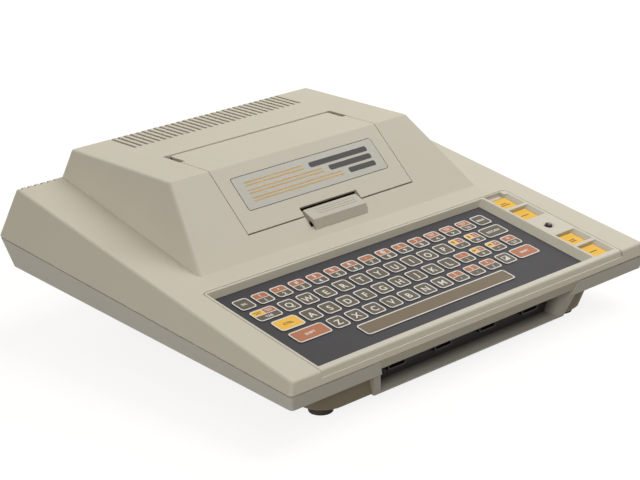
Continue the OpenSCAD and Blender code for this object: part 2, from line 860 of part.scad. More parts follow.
module keyboard_contacts() {
    color("#8f8a7a") on_deck()
        box([sheet_left, sheet_front_v, plate_w], [sheet_right, sheet_rear_v, -window_depth - sheet_t]);
}

plate_tabs = [[-149.5, 24], [-149.5, 84], [-112, bezel_len + 5], [0, bezel_len + 5], [100, bezel_len + 5]];
tab_r = 5;
plate_bottom_w = plate_w - plate_t;
module keyboard_backplate() {
    color("#9fa3a6") on_deck() difference() {
        union() {
            box([sheet_left, sheet_front_v, plate_bottom_w],
                [plate_post_x + plate_post_r + 0.2, sheet_rear_v - 1, plate_w]);
            for (t = plate_tabs)
                hull() {
                    translate([t[0], t[1], plate_bottom_w]) cylinder(r = tab_r, h = plate_t);
                    translate([max(t[0], sheet_left + 8), min(t[1], sheet_rear_v - 8), plate_bottom_w])
                        cylinder(r = tab_r, h = plate_t);
                }
        }
        for (t = plate_tabs)
            translate([t[0], t[1], plate_bottom_w - 1]) cylinder(r = small_screw_r + 0.15, h = plate_t + 2);
        for (v = plate_post_v)
            translate([plate_post_x, v, plate_bottom_w - 1])
                cylinder(r = small_screw_r + 0.15, h = plate_t + 2);
    }
}

small_head_r = 2.3;
small_head_h = 1.4;
module small_screw(length) {
    cylinder(r = small_screw_r, h = length);
    difference() {
        translate([0, 0, -small_head_h]) cylinder(r = small_head_r, h = small_head_h);
        cross_slot(-small_head_h, 0.8, 2.6);
    }
}

module keyboard_screws() {
    color("#b8b6b0") on_deck() {
        for (t = plate_tabs)
            translate([t[0], t[1], plate_bottom_w]) small_screw(plate_t + tab_boss_h - 0.5);
        for (v = plate_post_v)
            translate([plate_post_x, v, plate_bottom_w]) small_screw(plate_t + 3);
        for (v = console_post_v)
            translate([console_x, v, console_board_w - console_board_t]) small_screw(console_board_t + 4.4);
    }
}

tail_x0 = -106.4;
tail_x1 = -93;
tail_t = 0.5;
tail_y = -35.2;
connector_top_z = board_top + 9;
module keyboard_tail() {
    rear = deck_front_y + (sheet_rear_v - 0.6) * cos(deck_angle) - (plate_w + 0.3) * sin(deck_angle);
    top = deck_front_z + (sheet_rear_v - 0.6) * sin(deck_angle) + (plate_w + 0.3) * cos(deck_angle);
    color("#a9a28e") along_x(tail_x0, tail_x1)
        polygon([[rear + 0.8, top], [tail_y + tail_t, top + 0.4], [tail_y + tail_t, connector_top_z - 5],
            [tail_y, connector_top_z - 5], [tail_y, top - 0.1], [rear + 0.8, top - 0.5]]);
}

module keyboard_connector() {
    color("#2d2b29") difference() {
        box([tail_x0 - 3, tail_y - 3, board_top], [tail_x1 + 3, tail_y + 3.5, connector_top_z]);
        box([tail_x0 - 0.4, tail_y - 0.3, connector_top_z - 5.5],
            [tail_x1 + 0.4, tail_y + tail_t + 0.3, connector_top_z + 1]);
    }
}

// ---- Console keys ----

key_stem_r = 2;
spring_r = 3.2;
key_flange_w = -window_depth - 0.1;
module console_key(v) {
    w = console_key_w;
    l = console_key_l;
    color("#fcc84f") on_deck() translate([console_x, v, 0]) {
        translate([0, 0, -window_depth - 0.5]) linear_extrude(window_depth - console_drop + 0.1)
            polygon(round_rect(w, l, 0.7));
        translate([0, 0, -console_drop - 0.5]) linear_extrude(0.5)
            polygon(round_rect(w - 0.8, l - 0.8, 0.9));
        difference() {
            translate([0, 0, key_flange_w - 1.2]) linear_extrude(1.2)
                polygon(round_rect(w + 2 * key_flange, l + 2 * key_flange, 1));
            translate([0, 0, key_flange_w - 2]) cylinder(r = spring_r + 0.4, h = 1.6);
        }
        translate([0, 0, key_flange_w - 3.4]) cylinder(r = key_stem_r, h = 3.4);
    }
}
module console_key_1() { console_key(console_v[0]); }
module console_key_2() { console_key(console_v[1]); }
module console_key_3() { console_key(console_v[2]); }
module console_key_4() { console_key(console_v[3]); }

module console_key_springs() {
    color("#9a9da0") on_deck()
        for (v = console_v)
            translate([console_x, v, console_board_w]) rotate_extrude()
                translate([spring_r - 0.8, 0]) square([0.7, -console_board_w + key_flange_w - 0.8 - console_travel]);
}

module console_board() {
    color("#41603f") on_deck() difference() {
        box([console_x - 9.4, 3, console_board_w - console_board_t],
            [console_x + 9.4, bezel_len - 4, console_board_w]);
        for (v = console_post_v)
            translate([console_x, v, console_board_w - 4]) cylinder(r = small_screw_r + 0.15, h = 8);
    }
}

module power_led() {
    color("#5a1613") on_deck() translate([console_x, led_v, 0]) {
        translate([0, 0, console_board_w]) cylinder(r = led_d / 2 - 0.5, h = -console_board_w - 1);
        translate([0, 0, -3]) rotate_extrude()
            polygon(concat([[0, 0], [led_d / 2, 0]],
                [for (a = [0:15:90]) [led_d / 2 * cos(a), 2.6 + 1.6 * sin(a)]]));
    }
}

// ---- Door ----

function slope_z(y) = hump_crease_z - (hump_crease_y - y) * tan(hump_face_angle);
module hump_skin() {
    difference() {
        hump(0, edge_r);
        hump(wall, 0.5);
    }
}

door_tab_x = 60;
door_tab_y = 8;
plunger_d = 3;
plunger_top_z = 84;
module cartridge_door() {
    color("#cbc4b3") difference() {
        union() {
            intersection() {
                hump_skin();
                door_space(0, 12);
                box([-BIG, -BIG, 0], [BIG, hinge_y, BIG]);
            }
            along_hinge(-door_half_w + notch_w - 1, door_half_w - notch_w + 1, knuckle_r);
            box([-door_half_w + notch_w + 4, hinge_y - 4, hinge_z - knuckle_r],
                [door_half_w - notch_w - 4, hinge_y, hinge_z]);
            for (s = [-1, 1])
                translate([s * 68 - 1, 0, 0]) along_x(0, 2) door_rib();
            translate([door_tab_x, door_tab_y, plunger_top_z + 0.3])
                cylinder(r = 3, h = slope_z(door_tab_y) - 3 - plunger_top_z - 0.3);
        }
        for (s = [-1, 1])
            translate([s * (door_half_w - notch_w + 1 - pin_depth / 2), hinge_y, hinge_z])
                rotate([0, 90, 0]) cylinder(r = hinge_pin_d / 2 + pin_clear, h = pin_depth + 1, center = true);
        hinge_notches();
        latch_recess();
        on_hump_face()
            translate([0, -nameplate_top - nameplate_h / 2, -nameplate_t])
                linear_extrude(10) polygon(round_rect(nameplate_w + 0.4, nameplate_h + 0.4, 2));
    }
}

pin_depth = 10;
module along_hinge(x0, x1, r) {
    translate([x0, hinge_y, hinge_z]) rotate([0, 90, 0]) cylinder(r = r, h = x1 - x0);
}

// Stiffening rib inside the door, as a profile in Y and Z
module door_rib() {
    y1 = hinge_y - 6;
    polygon([[hump_crease_y, hump_crease_z - wall + 0.3], [y1, hump_top_z(y1) - wall + 0.3],
        [y1, hump_top_z(y1) - wall - 2], [hump_crease_y + 1, hump_crease_z - wall - 4],
        [face_y(34, 5), face_z(34, 5)], [face_y(34, 2.2), face_z(34, 2.2)]]);
}

module nameplate() {
    color("#b4b3ab") on_hump_face()
        translate([0, -nameplate_top - nameplate_h / 2, -nameplate_t])
            linear_extrude(nameplate_t + 0.05) polygon(round_rect(nameplate_w, nameplate_h, 1.8));
}

module door_hinge_pins() {
    color("#b8b6b0")
        for (s = [-1, 1])
            translate([s * (door_half_w - notch_w + 1 - pin_depth + 0.3), hinge_y, hinge_z])
                rotate([0, s * 90, 0]) cylinder(r = hinge_pin_d / 2, h = pin_depth + notch_w + 4.4);
}

latch_low_w = -wall - 0.5;
latch_flange_t = 1.6;
latch_shoulder_depth = 1.8;
latch_face_proud = 3.5;
latch_nose_s = 58;
latch_body_s = latch_slot_s - latch_travel - 0.5;
module door_latch() {
    color("#b1aca0") on_hump_face() {
        translate([-latch_w / 2, 0, 0]) difference() {
            rotate([90, 0, 90]) linear_extrude(latch_w)
                polygon([[-latch_top_s, -0.5], [-latch_nose_s, latch_face_proud], [-latch_low_s, 0.3],
                    [-latch_body_s, 0.3], [-latch_body_s, latch_low_w], [-latch_top_s, latch_low_w]]);
            for (i = [0:2])
                translate([9, -50.2 - 2 * i, 0.75 * i + 0.35]) rotate([-latch_tilt, 0, 0])
                    translate([0, -0.3, 0]) cube([36, 0.6, 1]);
        }
        box([-latch_w / 2 - 5, -latch_body_s, latch_low_w - latch_flange_t],
            [latch_w / 2 + 5, -latch_top_s, latch_low_w]);
        box([-latch_recess_half + 0.4, -latch_body_s, latch_low_w - 0.5],
            [latch_recess_half - 0.4, -latch_top_s, -latch_shoulder_depth]);
        box([-4, -latch_body_s - 1.2, latch_low_w - 5], [4, -latch_top_s - 3, latch_low_w - latch_flange_t + 0.5]);
    }
}
latch_tilt = atan((latch_face_proud + 0.5) / (latch_nose_s - latch_top_s));

module latch_spring() {
    color("#9a9da0") on_hump_face()
        translate([0, -spring_s, latch_low_w - 3]) rotate([-90, 0, 0]) rotate_extrude()
            translate([1.1, 0]) square([0.6, spring_s - latch_slot_s - 1.6]);
}

// ---- Controller jacks ----

panel_t = 2;
jack_shell_w = 18.6;
jack_shell_h = 9.6;
jack_shell_t = 0.9;
jack_body_w = 31;
jack_reach = 5.6;
jack_deep = 9;
module jack_outline(inset) {
    h = jack_shell_h / 2 - inset;
    w = jack_shell_w / 2 - inset;
    slant = 1.6;
    polygon([[-w + slant, -h], [w - slant, -h], [w, h], [-w, h]]);
}

module jack_panel() {
    color("#262321") difference() {
        along_y(jack_panel_y, jack_panel_y + panel_t) bay_outline(bay_floor_z, seam_front_z - 1, -0.3);
        for (i = [0:jack_count - 1])
            translate([jack_x(i), jack_panel_y - 1, jack_mid_z]) rotate([90, 0, 0]) mirror([0, 0, 1])
                linear_extrude(panel_t + 2) jack_outline(-0.3);
    }
}

module controller_jack(i) {
    back = jack_panel_y + panel_t;
    color("#3a3735") translate([jack_x(i), 0, jack_mid_z]) {
        difference() {
            translate([0, back + 0.5, 0]) rotate([90, 0, 0]) linear_extrude(jack_reach + panel_t + 0.5)
                jack_outline(0);
            translate([0, back - 0.5, 0]) rotate([90, 0, 0]) linear_extrude(20) jack_outline(jack_shell_t);
        }
        box([-jack_body_w / 2, back + 0.2, -jack_z], [jack_body_w / 2, back + jack_deep, jack_shell_h / 2 + 0.6]);
        for (row = [0, 1])
            for (k = [0:4 - row])
                translate([(k - 2 + row / 2) * 2.77, back + 1, 1.4 - 2.84 * row]) rotate([90, 0, 0])
                    cylinder(r = 0.5, h = 3.6);
    }
}
module controller_jack_1() { controller_jack(0); }
module controller_jack_2() { controller_jack(1); }
module controller_jack_3() { controller_jack(2); }
module controller_jack_4() { controller_jack(3); }

// ---- Boards and shields ----

main_x0 = -112;
main_x1 = 60;
main_front_x1 = 92;
main_front_y = -119;
main_step_y = -88;
main_rear_y = 90;
power_x0 = 63;
power_x1 = 116.5;
power_y0 = -80;
module board_holes(spots, r) {
    for (p = spots)
        translate([p[0], p[1], 0]) cylinder(r = r, h = 60);
}

module main_board() {
    color("#41603f") difference() {
        translate([0, 0, board_z]) linear_extrude(board_t)
            polygon([[main_x0, main_front_y], [main_front_x1, main_front_y], [main_front_x1, main_step_y],
                [main_x1, main_step_y], [main_x1, main_rear_y], [main_x0, main_rear_y]]);
        board_holes(shield_spots, shield_screw_r + 0.3);
    }
}

shield_x0 = -106;
shield_x1 = 56;
shield_y0 = -84;
shield_y1 = 88;
shield_cover_x0 = -86;
shield_screw_r = 1.5;
shield_boss_r = 3.6;
module shield_lower() {
    color("#8d9092") difference() {
        union() {
            box([shield_x0, shield_y0, floor_z], [shield_x1, shield_y1, floor_z + shield_t - 0.4]);
            for (p = shield_spots)
                translate([p[0], p[1], floor_z]) cylinder(r = shield_boss_r, h = board_z - floor_z);
        }
        board_holes(shield_spots, shield_screw_r + 0.05);
    }
}

card_x0 = -74;
card_x1 = 44;
module shield_upper() {
    t = shield_t;
    color("#a2a5a7") difference() {
        union() {
            difference() {
                box([shield_cover_x0, shield_y0, board_top], [shield_x1, shield_y1, shield_top_z]);
                box([shield_cover_x0 + t, shield_y0 + t, board_top - 1],
                    [shield_x1 - t, shield_y1 - t, shield_top_z - t]);
            }
            for (p = shield_spots)
                hull() {
                    translate([p[0], p[1], board_top]) cylinder(r = shield_boss_r, h = 4);
                    translate([p[0] < 0 ? shield_cover_x0 + 2 : p[0], p[1], board_top])
                        cylinder(r = shield_boss_r, h = 4);
                }
        }
        box([card_x0 - 6, card_ys[0] - 6, shield_top_z - 9], [card_x1 + 4, card_ys[1] + 6, shield_top_z + 5]);
        box([-well_w / 2, well_y - well_d / 2, shield_top_z - 9], [well_w / 2, well_y + well_d / 2, shield_top_z + 5]);
        for (p = shield_spots)
            translate([p[0], p[1], 0]) {
                cylinder(r = shield_screw_r + 0.2, h = 60);
                translate([0, 0, board_top + 4]) cylinder(r = shield_boss_r, h = 40);
            }
    }
}

module shield_screws() {
    color("#b8b6b0")
        for (p = shield_spots)
            translate([p[0], p[1], 0]) {
                translate([0, 0, floor_z + 0.6]) cylinder(r = shield_screw_r, h = board_top + 4 - floor_z - 0.6);
                difference() {
                    translate([0, 0, board_top + 4]) cylinder(r = 2.8, h = 2);
                    translate([0, 0, board_top + 6]) mirror([0, 0, 1]) cross_slot(0, 1.2, 3.2);
                }
            }
}

// A chip in a long package: size [x, y, height] with its legs as two thin rims
module chip(x, y, z, size) {
    translate([x, y, z]) {
        box([-size[0] / 2, -size[1] / 2 + 0.6, 0.6], [size[0] / 2, size[1] / 2 - 0.6, size[2]]);
        for (s = [-1, 1])
            box([-size[0] / 2 + 0.8, s * (size[1] / 2 - 0.4) - 0.3, 0],
                [size[0] / 2 - 0.8, s * (size[1] / 2 - 0.4) + 0.3, size[2] / 2]);
    }
}

module main_board_chips() {
    color("#26282a") {
        for (x = [-52, 14])
            for (y = [-58, -32, -6])
                chip(x, y, board_top, [52, 15, 4.4]);
        for (x = [-66, -40, -14, 12, 36])
            chip(x, 16, board_top, [20, 8, 4]);
        for (x = [-60, -30, 0, 30])
            chip(x, -102, board_top, [20, 8, 4]);
    }
}

connector_h = 11;
card_low_z = board_top + 3.4;
card_top_z = 66;
module card_connectors() {
    color("#2d2b29") difference() {
        for (y = card_ys)
            box([card_x0 - 2, y - 3.6, board_top], [card_x1 + 2, y + 3.6, board_top + connector_h]);
        for (y = card_ys)
            box([card_x0 - 0.3, y - board_t / 2 - 0.15, card_low_z],
                [card_x1 + 0.3, y + board_t / 2 + 0.15, board_top + connector_h + 1]);
    }
}

module card(y) {
    color("#41603f") box([card_x0, y - board_t / 2, card_low_z], [card_x1, y + board_t / 2, card_top_z]);
}
module processor_card() { card(card_ys[0]); }
module memory_card() { card(card_ys[1]); }

module card_chips() {
    color("#26282a")
        for (y = card_ys) {
            n = y == card_ys[0] ? 2 : 4;
            for (i = [0:n - 1])
                translate([card_x0 + (i + 0.5) * (card_x1 - card_x0) / n, y - board_t / 2, 48])
                    rotate([90, 0, 0]) chip(0, 0, 0, [n == 2 ? 52 : 20, n == 2 ? 15 : 8, 4]);
        }
}

// ---- Cartridge bay ----

flange_z = 70;
flange_t = 2.2;
guide_wall = 2;
module cartridge_guide() {
    w = well_w / 2 + guide_wall;
    d = well_d / 2 + guide_wall;
    color("#3f3b37") difference() {
        union() {
            box([-76, 3, flange_z], [76, 84, flange_z + flange_t]);
            box([-w, well_y - d, shield_top_z], [w, well_y + d, flange_z + 1]);
            box([-w - 4, well_y - d - 4, shield_top_z], [w + 4, well_y - d + 1, shield_top_z + 2.4]);
            for (s = [-1, 1])
                box([s * 50 - 1, 6, shield_top_z], [s * 50 + 1, 50, flange_z + 1]);
        }
        box([-well_w / 2, well_y - well_d / 2, shield_top_z - 1], [well_w / 2, well_y + well_d / 2, flange_z + 8]);
    }
}

module cartridge_connector() {
    color("#2d2b29") difference() {
        box([-32, well_y - 5, board_top], [32, well_y + 5, board_top + 14]);
        box([-28, well_y - 1, board_top + 4], [28, well_y + 1, board_top + 15]);
    }
}

switch_h = 8;
module interlock_switch() {
    color("#2d2b29") difference() {
        box([door_tab_x - 7, door_tab_y - 3.4, flange_z + flange_t],
            [door_tab_x + 7, door_tab_y + 3.4, flange_z + flange_t + switch_h]);
        translate([door_tab_x, door_tab_y, flange_z + flange_t + 1])
            cylinder(r = plunger_d / 2 + pin_clear, h = switch_h);
    }
}

module interlock_plunger() {
    color("#c7473b") translate([door_tab_x, door_tab_y, flange_z + flange_t + 1.4])
        cylinder(r = plunger_d / 2, h = plunger_top_z - flange_z - flange_t - 1.4);
}

// ---- Power board ----

module power_board() {
    color("#41603f") box([power_x0, power_y0, board_z], [power_x1, main_rear_y, board_top]);
}

module heat_sink() {
    color("#a9abad") {
        box([68, -30, board_top], [92, 32, board_top + 2]);
        for (i = [0:5])
            box([68 + i * 4.4, -30, board_top + 1], [69.6 + i * 4.4, 32, board_top + 22]);
    }
}

module regulators() {
    color("#26282a")
        for (y = [-18, 2, 22]) {
            box([92.1, y - 5, board_top + 2], [96.6, y + 5, board_top + 17]);
            for (k = [-1, 0, 1])
                translate([94.3, y + 2.5 * k, board_top]) cylinder(r = 0.5, h = 3);
        }
}

module filter_capacitors() {
    color("#3b4a66")
        for (y = [46, 68])
            translate([78, y, board_top]) difference() {
                cylinder(r = 9, h = 26);
                translate([0, 0, 25.4]) cylinder(r = 7.6, h = 2);
            }
}

// ---- Sockets on the right side ----

peripheral_y = -50;
peripheral_w = 40;
channel_y = -14;
power_switch_y = 12;
power_socket_y = 38;
lead_y = 60;
socket_z = board_top + 6.4;
rocker_w = 11;
rocker_l = 19;

module peripheral_outline(grow) {
    w = peripheral_w / 2 + grow;
    polygon([[-w, -4.4 - grow], [w, -4.4 - grow], [w - 3, 5 + grow], [-w + 3, 5 + grow]]);
}

// The openings in the side wall, grown by gap
module side_cutouts(gap, x0, x1) {
    translate([x0, peripheral_y, socket_z]) rotate([90, 0, 90]) linear_extrude(x1 - x0) peripheral_outline(gap);
    box([x0, channel_y - 5 - gap, socket_z - 2.4 - gap], [x1, channel_y + 5 + gap, socket_z + 2.4 + gap]);
    box([x0, power_switch_y - rocker_l / 2 - gap, socket_z - rocker_w / 2 - gap + 0.5],
        [x1, power_switch_y + rocker_l / 2 + gap, socket_z + rocker_w / 2 + gap + 0.5]);
    translate([x0, power_socket_y, socket_z]) rotate([0, 90, 0]) cylinder(r = 5 + gap, h = x1 - x0);
    translate([x0, lead_y, socket_z]) rotate([0, 90, 0]) cylinder(r = 4.6 + gap, h = x1 - x0);
}

module side_panel() {
    color("#3f3b37") difference() {
        box([side_wall_x, side_recess_y0 + 1, side_recess_z + 0.8],
            [side_wall_x + side_trim_t, side_recess_y1 - 1, socket_z + 6.4]);
        side_cutouts(0.3, side_wall_x - 1, side_wall_x + side_trim_t + 1);
    }
}

side_face_x = side_wall_x + side_trim_t;
module peripheral_socket() {
    color("#2d2b29") difference() {
        union() {
            box([100, peripheral_y - peripheral_w / 2 - 2, board_top],
                [side_wall_x - side_wall_t - 0.2, peripheral_y + peripheral_w / 2 + 2, socket_z + 7]);
            translate([100, peripheral_y, socket_z]) rotate([90, 0, 90])
                linear_extrude(side_face_x - 100 + 0.6) peripheral_outline(0);
        }
        translate([side_face_x - 9, peripheral_y, socket_z]) rotate([90, 0, 90])
            linear_extrude(20) peripheral_outline(-1.4);
    }
    color("#c9b26a")
        for (row = [0, 1])
            for (k = [0:6 - row])
                translate([side_face_x - 12, peripheral_y + (k - 3 + row / 2) * 4.6, socket_z + 2.4 - 4 * row - 0.6])
                    rotate([0, 90, 0]) cylinder(r = 0.8, h = 6);
}

module channel_switch() {
    color("#a9abad") difference() {
        box([104, channel_y - 9, board_top], [side_wall_x - side_wall_t - 0.2, channel_y + 9, socket_z + 5]);
        box([107, channel_y - 6, socket_z - 1.8], [side_wall_x, channel_y + 6, socket_z + 1.8]);
    }
}

module channel_slider() {
    color("#26282a") box([108, channel_y - channel_travel / 2 - 2.2, socket_z - 1.6],
        [side_face_x + 1.6, channel_y - channel_travel / 2 + 2.2, socket_z + 1.6]);
}

rocker_z = socket_z + 0.5;
module power_switch() {
    color("#26282a") difference() {
        box([104, power_switch_y - 12, board_top], [side_wall_x - side_wall_t - 0.2, power_switch_y + 12, rocker_z + 7.5]);
        box([107, power_switch_y - rocker_l / 2 - 0.2, rocker_z - rocker_w / 2],
            [side_wall_x, power_switch_y + rocker_l / 2 + 0.2, rocker_z + rocker_w / 2]);
        for (s = [-1, 1])
            translate([rocker_pivot_x, power_switch_y, rocker_z + s * (rocker_w / 2 + 0.5)])
                cylinder(r = 1 + pin_clear, h = 2.4, center = true);
    }
}

rocker_pivot_x = 114;
rocker_angle = 8;
rocker_half = rocker_l / 2 - 2.6;
module power_rocker() {
    reach = side_face_x - rocker_pivot_x + 1;
    color("#1f1e1d") translate([rocker_pivot_x, power_switch_y, rocker_z]) rotate([0, 0, rocker_angle]) {
        translate([0, 0, -rocker_w / 2 + 0.35]) linear_extrude(rocker_w - 0.7)
            polygon([[-1.6, -2], [reach - 1, -rocker_half], [reach + 0.6, -rocker_half + 0.6],
                [reach - 0.6, 0], [reach + 0.6, rocker_half - 0.6], [reach - 1, rocker_half], [-1.6, 2]]);
        cylinder(r = 1, h = rocker_w + 2.2, center = true);
    }
}

module power_socket() {
    color("#26282a") translate([0, power_socket_y, socket_z]) {
        difference() {
            union() {
                box([102, -7, -socket_z + board_top], [side_wall_x - side_wall_t - 0.2, 7, 6.5]);
                translate([102, 0, 0]) rotate([0, 90, 0]) cylinder(r = 5, h = side_face_x - 102 + 0.5);
            }
            translate([105, 0, 0]) rotate([0, 90, 0]) cylinder(r = power_bore_d / 2, h = 40);
        }
        translate([104, 0, 0]) rotate([0, 90, 0]) cylinder(r = power_pin_d / 2, h = side_face_x - 104 - 0.8);
    }
}

module rf_modulator() {
    color("#a9abad") box([88, lead_y - 8, board_top], [112, lead_y + 22, board_top + 17]);
}

module lead_gland() {
    color("#2b2a28") translate([0, lead_y, socket_z]) rotate([0, 90, 0]) difference() {
        union() {
            translate([0, 0, 112]) cylinder(r = 4.6, h = side_face_x - 112 + 3);
            translate([0, 0, side_face_x + 0.02]) cylinder(r = 6.4, h = 1.6);
        }
        translate([0, 0, 100]) cylinder(r = lead_bore_d / 2, h = 40);
    }
}

module speaker() {
    color("#33302d") translate([-79, -6, shield_top_z]) rotate_extrude()
        polygon([[0, 0], [12, 0], [12, 7], [24, 11], [27, 11], [27, 13], [22, 13], [10, 9.5], [0, 9.5]]);
}

top_case();
bottom_case();
jack_bay();
socket_bay();
socket_wall();
cartridge_door();
nameplate();
door_hinge_pins();
door_latch();
latch_spring();
keyboard_bezel();
keyboard_sheet();
keyboard_contacts();
keyboard_backplate();
keyboard_tail();
keyboard_connector();
console_key_1();
console_key_2();
console_key_3();
console_key_4();
console_key_springs();
console_board();
keyboard_screws();
power_led();
jack_panel();
controller_jack_1();
controller_jack_2();
controller_jack_3();
controller_jack_4();
main_board();
main_board_chips();
shield_lower();
shield_upper();
shield_screws();
card_connectors();
processor_card();
memory_card();
card_chips();
cartridge_guide();
cartridge_connector();
interlock_switch();
interlock_plunger();
power_board();
heat_sink();
regulators();
filter_capacitors();
side_panel();
peripheral_socket();
channel_switch();
channel_slider();
power_switch();
power_rocker();
power_socket();
rf_modulator();
lead_gland();
speaker();
rubber_feet();
case_screws();
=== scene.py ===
# %% [markdown]
# # Dressing a home computer of about 1979
# The shapes of this machine come from its CAD model, as one mesh for each real piece. What the camera
# still misses is the surface: the spark texture of the beige mouldings, the printed key sheet under its
# window, the satin of the silver plate and the soft light of a product photograph. This lesson adds
# those, one small step at a time, and all of it is worked out from numbers.

import math

import bmesh
import bpy
import numpy as np
from mathutils import Matrix, Vector


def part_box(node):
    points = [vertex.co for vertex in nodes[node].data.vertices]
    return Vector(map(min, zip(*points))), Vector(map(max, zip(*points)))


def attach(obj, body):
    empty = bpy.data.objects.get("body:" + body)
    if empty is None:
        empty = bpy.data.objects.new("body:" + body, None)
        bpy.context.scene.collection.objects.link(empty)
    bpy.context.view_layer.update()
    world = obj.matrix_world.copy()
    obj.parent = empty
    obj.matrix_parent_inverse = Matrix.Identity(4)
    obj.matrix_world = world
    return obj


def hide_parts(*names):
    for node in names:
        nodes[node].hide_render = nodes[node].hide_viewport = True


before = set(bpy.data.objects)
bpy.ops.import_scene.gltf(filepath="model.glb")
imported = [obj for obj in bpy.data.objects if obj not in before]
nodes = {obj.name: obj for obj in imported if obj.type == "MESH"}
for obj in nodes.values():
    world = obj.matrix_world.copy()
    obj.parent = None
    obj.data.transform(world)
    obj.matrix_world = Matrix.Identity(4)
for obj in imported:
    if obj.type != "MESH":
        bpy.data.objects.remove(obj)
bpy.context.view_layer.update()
scene = bpy.context.scene

# %% [markdown]
# ## The camera
# The photograph is taken from the front left and a little above, with a long lens, so the far edges
# hardly shrink. A camera can be aimed by eye, but then every edge is a little off. Here the three angles,
# the point that it looks at and its distance were found by fitting the case's corners. A camera looks
# along its own -Z, so its matrix has the picture's right, the picture's up and the way back to the
# photographer as its columns.


# %% Place the camera
def add_object(name, data):
    """An object for this data, linked to the scene. It starts at the origin, unturned and unscaled."""
    made = bpy.data.objects.new(name, data)
    scene.collection.objects.link(made)
    return made


YAW, PITCH, ROLL = (math.radians(a) for a in (43.63, 19.69, -0.87))
LOOKED_AT = Vector((0.00073, 0.00805, 0.05))
DISTANCE = 1.3198
back = Vector((-math.sin(YAW) * math.cos(PITCH), -math.cos(YAW) * math.cos(PITCH), math.sin(PITCH)))
level = Vector((math.cos(YAW), -math.sin(YAW), 0))
upright = back.cross(level)
right = level * math.cos(ROLL) + upright * math.sin(ROLL)
up = upright * math.cos(ROLL) - level * math.sin(ROLL)
turned = Matrix((right, up, back)).transposed().to_4x4()
camera_data = bpy.data.cameras.new("portrait_camera")
camera_data.lens = 106.6
camera_data.sensor_width = 36
camera_data.clip_end = 50
camera = add_object("portrait_camera", camera_data)
camera.matrix_world = Matrix.Translation(LOOKED_AT + back * DISTANCE) @ turned
scene.camera = camera
print("camera at", [round(c, 3) for c in camera.matrix_world.translation])

# %% [markdown]
# ## Writing shader maths as sums
# A material is a graph of nodes, and it could be wired node by node, but a sum reads better as a sum.
# `Field` wraps one output that changes over the surface, and each operator on it adds the Math node for
# that step. `Graph` holds the nodes of a material or of the world, with one method that adds any node and
# a few short names for those that this machine needs again and again. `Finish` is such a graph with one
# shader.


# %% The Field class
class Field:
    """A number that changes over a surface. Arithmetic with it adds the Math nodes that work it out."""

    def __init__(self, graph, socket):
        self.graph = graph
        self.socket = socket

    def math(self, operation, *others):
        """One Math node that works on this field and then on these values or fields."""
        inputs = dict(enumerate((self, *others)))
        made = self.graph.node("ShaderNodeMath", {"operation": operation}, inputs)
        return Field(self.graph, made.outputs[0])

    def __add__(self, other):
        return self.math("ADD", other)

    def __sub__(self, other):
        return self.math("SUBTRACT", other)

    def __rsub__(self, other):
        return self.math("MULTIPLY_ADD", -1.0, other)

    def __mul__(self, other):
        return self.math("MULTIPLY", other)

    def __abs__(self):
        return self.math("ABSOLUTE")

    def __gt__(self, other):
        return self.math("GREATER_THAN", other)

    def __lt__(self, other):
        return self.math("LESS_THAN", other)

    def __mod__(self, other):
        return self.math("FLOORED_MODULO", other)

    __radd__ = __add__
    __rmul__ = __mul__

    def wave(self):
        """A wave with straight flanks: 0.5 where the field is a whole number, and 0 half-way between."""
        return abs(self % 1.0 - 0.5)

    def ramp(self, low, high):
        """0 where the field is under low, 1 where it is over high, and an even slope between."""
        inputs = {0: self, 1: low, 2: high, 3: 0.0, 4: 1.0}
        made = self.graph.node("ShaderNodeMapRange", {"clamp": True}, inputs)
        return Field(self.graph, made.outputs[0])


print("Field is ready")


# %% The Graph class
class Graph:
    """The nodes of one material or world."""

    def __init__(self, owner):
        self.owner = owner
        owner.use_nodes = True
        self.tree = owner.node_tree
        self.tree.nodes.clear()

    def node(self, kind, settings=None, sockets=None):
        """Any node: its type, its settings, and then the values or links of its sockets."""
        made = self.tree.nodes.new(kind)
        for name, value in (settings or {}).items():
            setattr(made, name, value)
        for name, value in (sockets or {}).items():
            self.feed(made.inputs[name], value)
        return made

    def feed(self, socket, value):
        """Links the socket to a field or another socket, or gives it a steady value."""
        if isinstance(value, Field):
            value = value.socket
        if isinstance(value, bpy.types.NodeSocket):
            self.tree.links.new(value, socket)
        else:
            socket.default_value = value

    def place(self, stretch=(1, 1, 1)):
        """The point on the object in metres, stretched for patterns that run one way."""
        here = self.node("ShaderNodeTexCoord").outputs["Object"]
        if stretch == (1, 1, 1):
            return here
        return self.node("ShaderNodeMapping", {}, {"Vector": here, "Scale": stretch}).outputs[0]

    def axes(self):
        """X, Y and Z of the point, as three fields."""
        split = self.node("ShaderNodeSeparateXYZ", {}, {0: self.place()})
        return [Field(self, socket) for socket in split.outputs]

    def noise(self, size, detail=2.0, stretch=(1, 1, 1)):
        """Even noise from 0 to 1 whose blots are about that size in metres."""
        inputs = {"Vector": self.place(stretch), "Scale": 1 / size, "Detail": detail}
        return Field(self, self.node("ShaderNodeTexNoise", {}, inputs).outputs["Fac"])

    def cells(self, size):
        """Distance to the nearest of many scattered points, about that size apart."""
        made = self.node("ShaderNodeTexVoronoi", {}, {"Vector": self.place(), "Scale": 1 / size})
        return Field(self, made.outputs["Distance"])

    def blend(self, share, first, second):
        """The first colour where share is 0 and the second where it is 1."""
        return self.node("ShaderNodeMix", {"data_type": "RGBA"}, {0: share, 6: first, 7: second}).outputs[2]

    def seen_directly(self):
        """1 for rays from the camera, off a glossy face or through a clear one, and 0 for all others."""
        path = self.node("ShaderNodeLightPath").outputs
        camera_ray = Field(self, path["Is Camera Ray"])
        return camera_ray.math("MAXIMUM", path["Is Glossy Ray"]).math("MAXIMUM", path["Is Transmission Ray"])


print("Graph is ready")


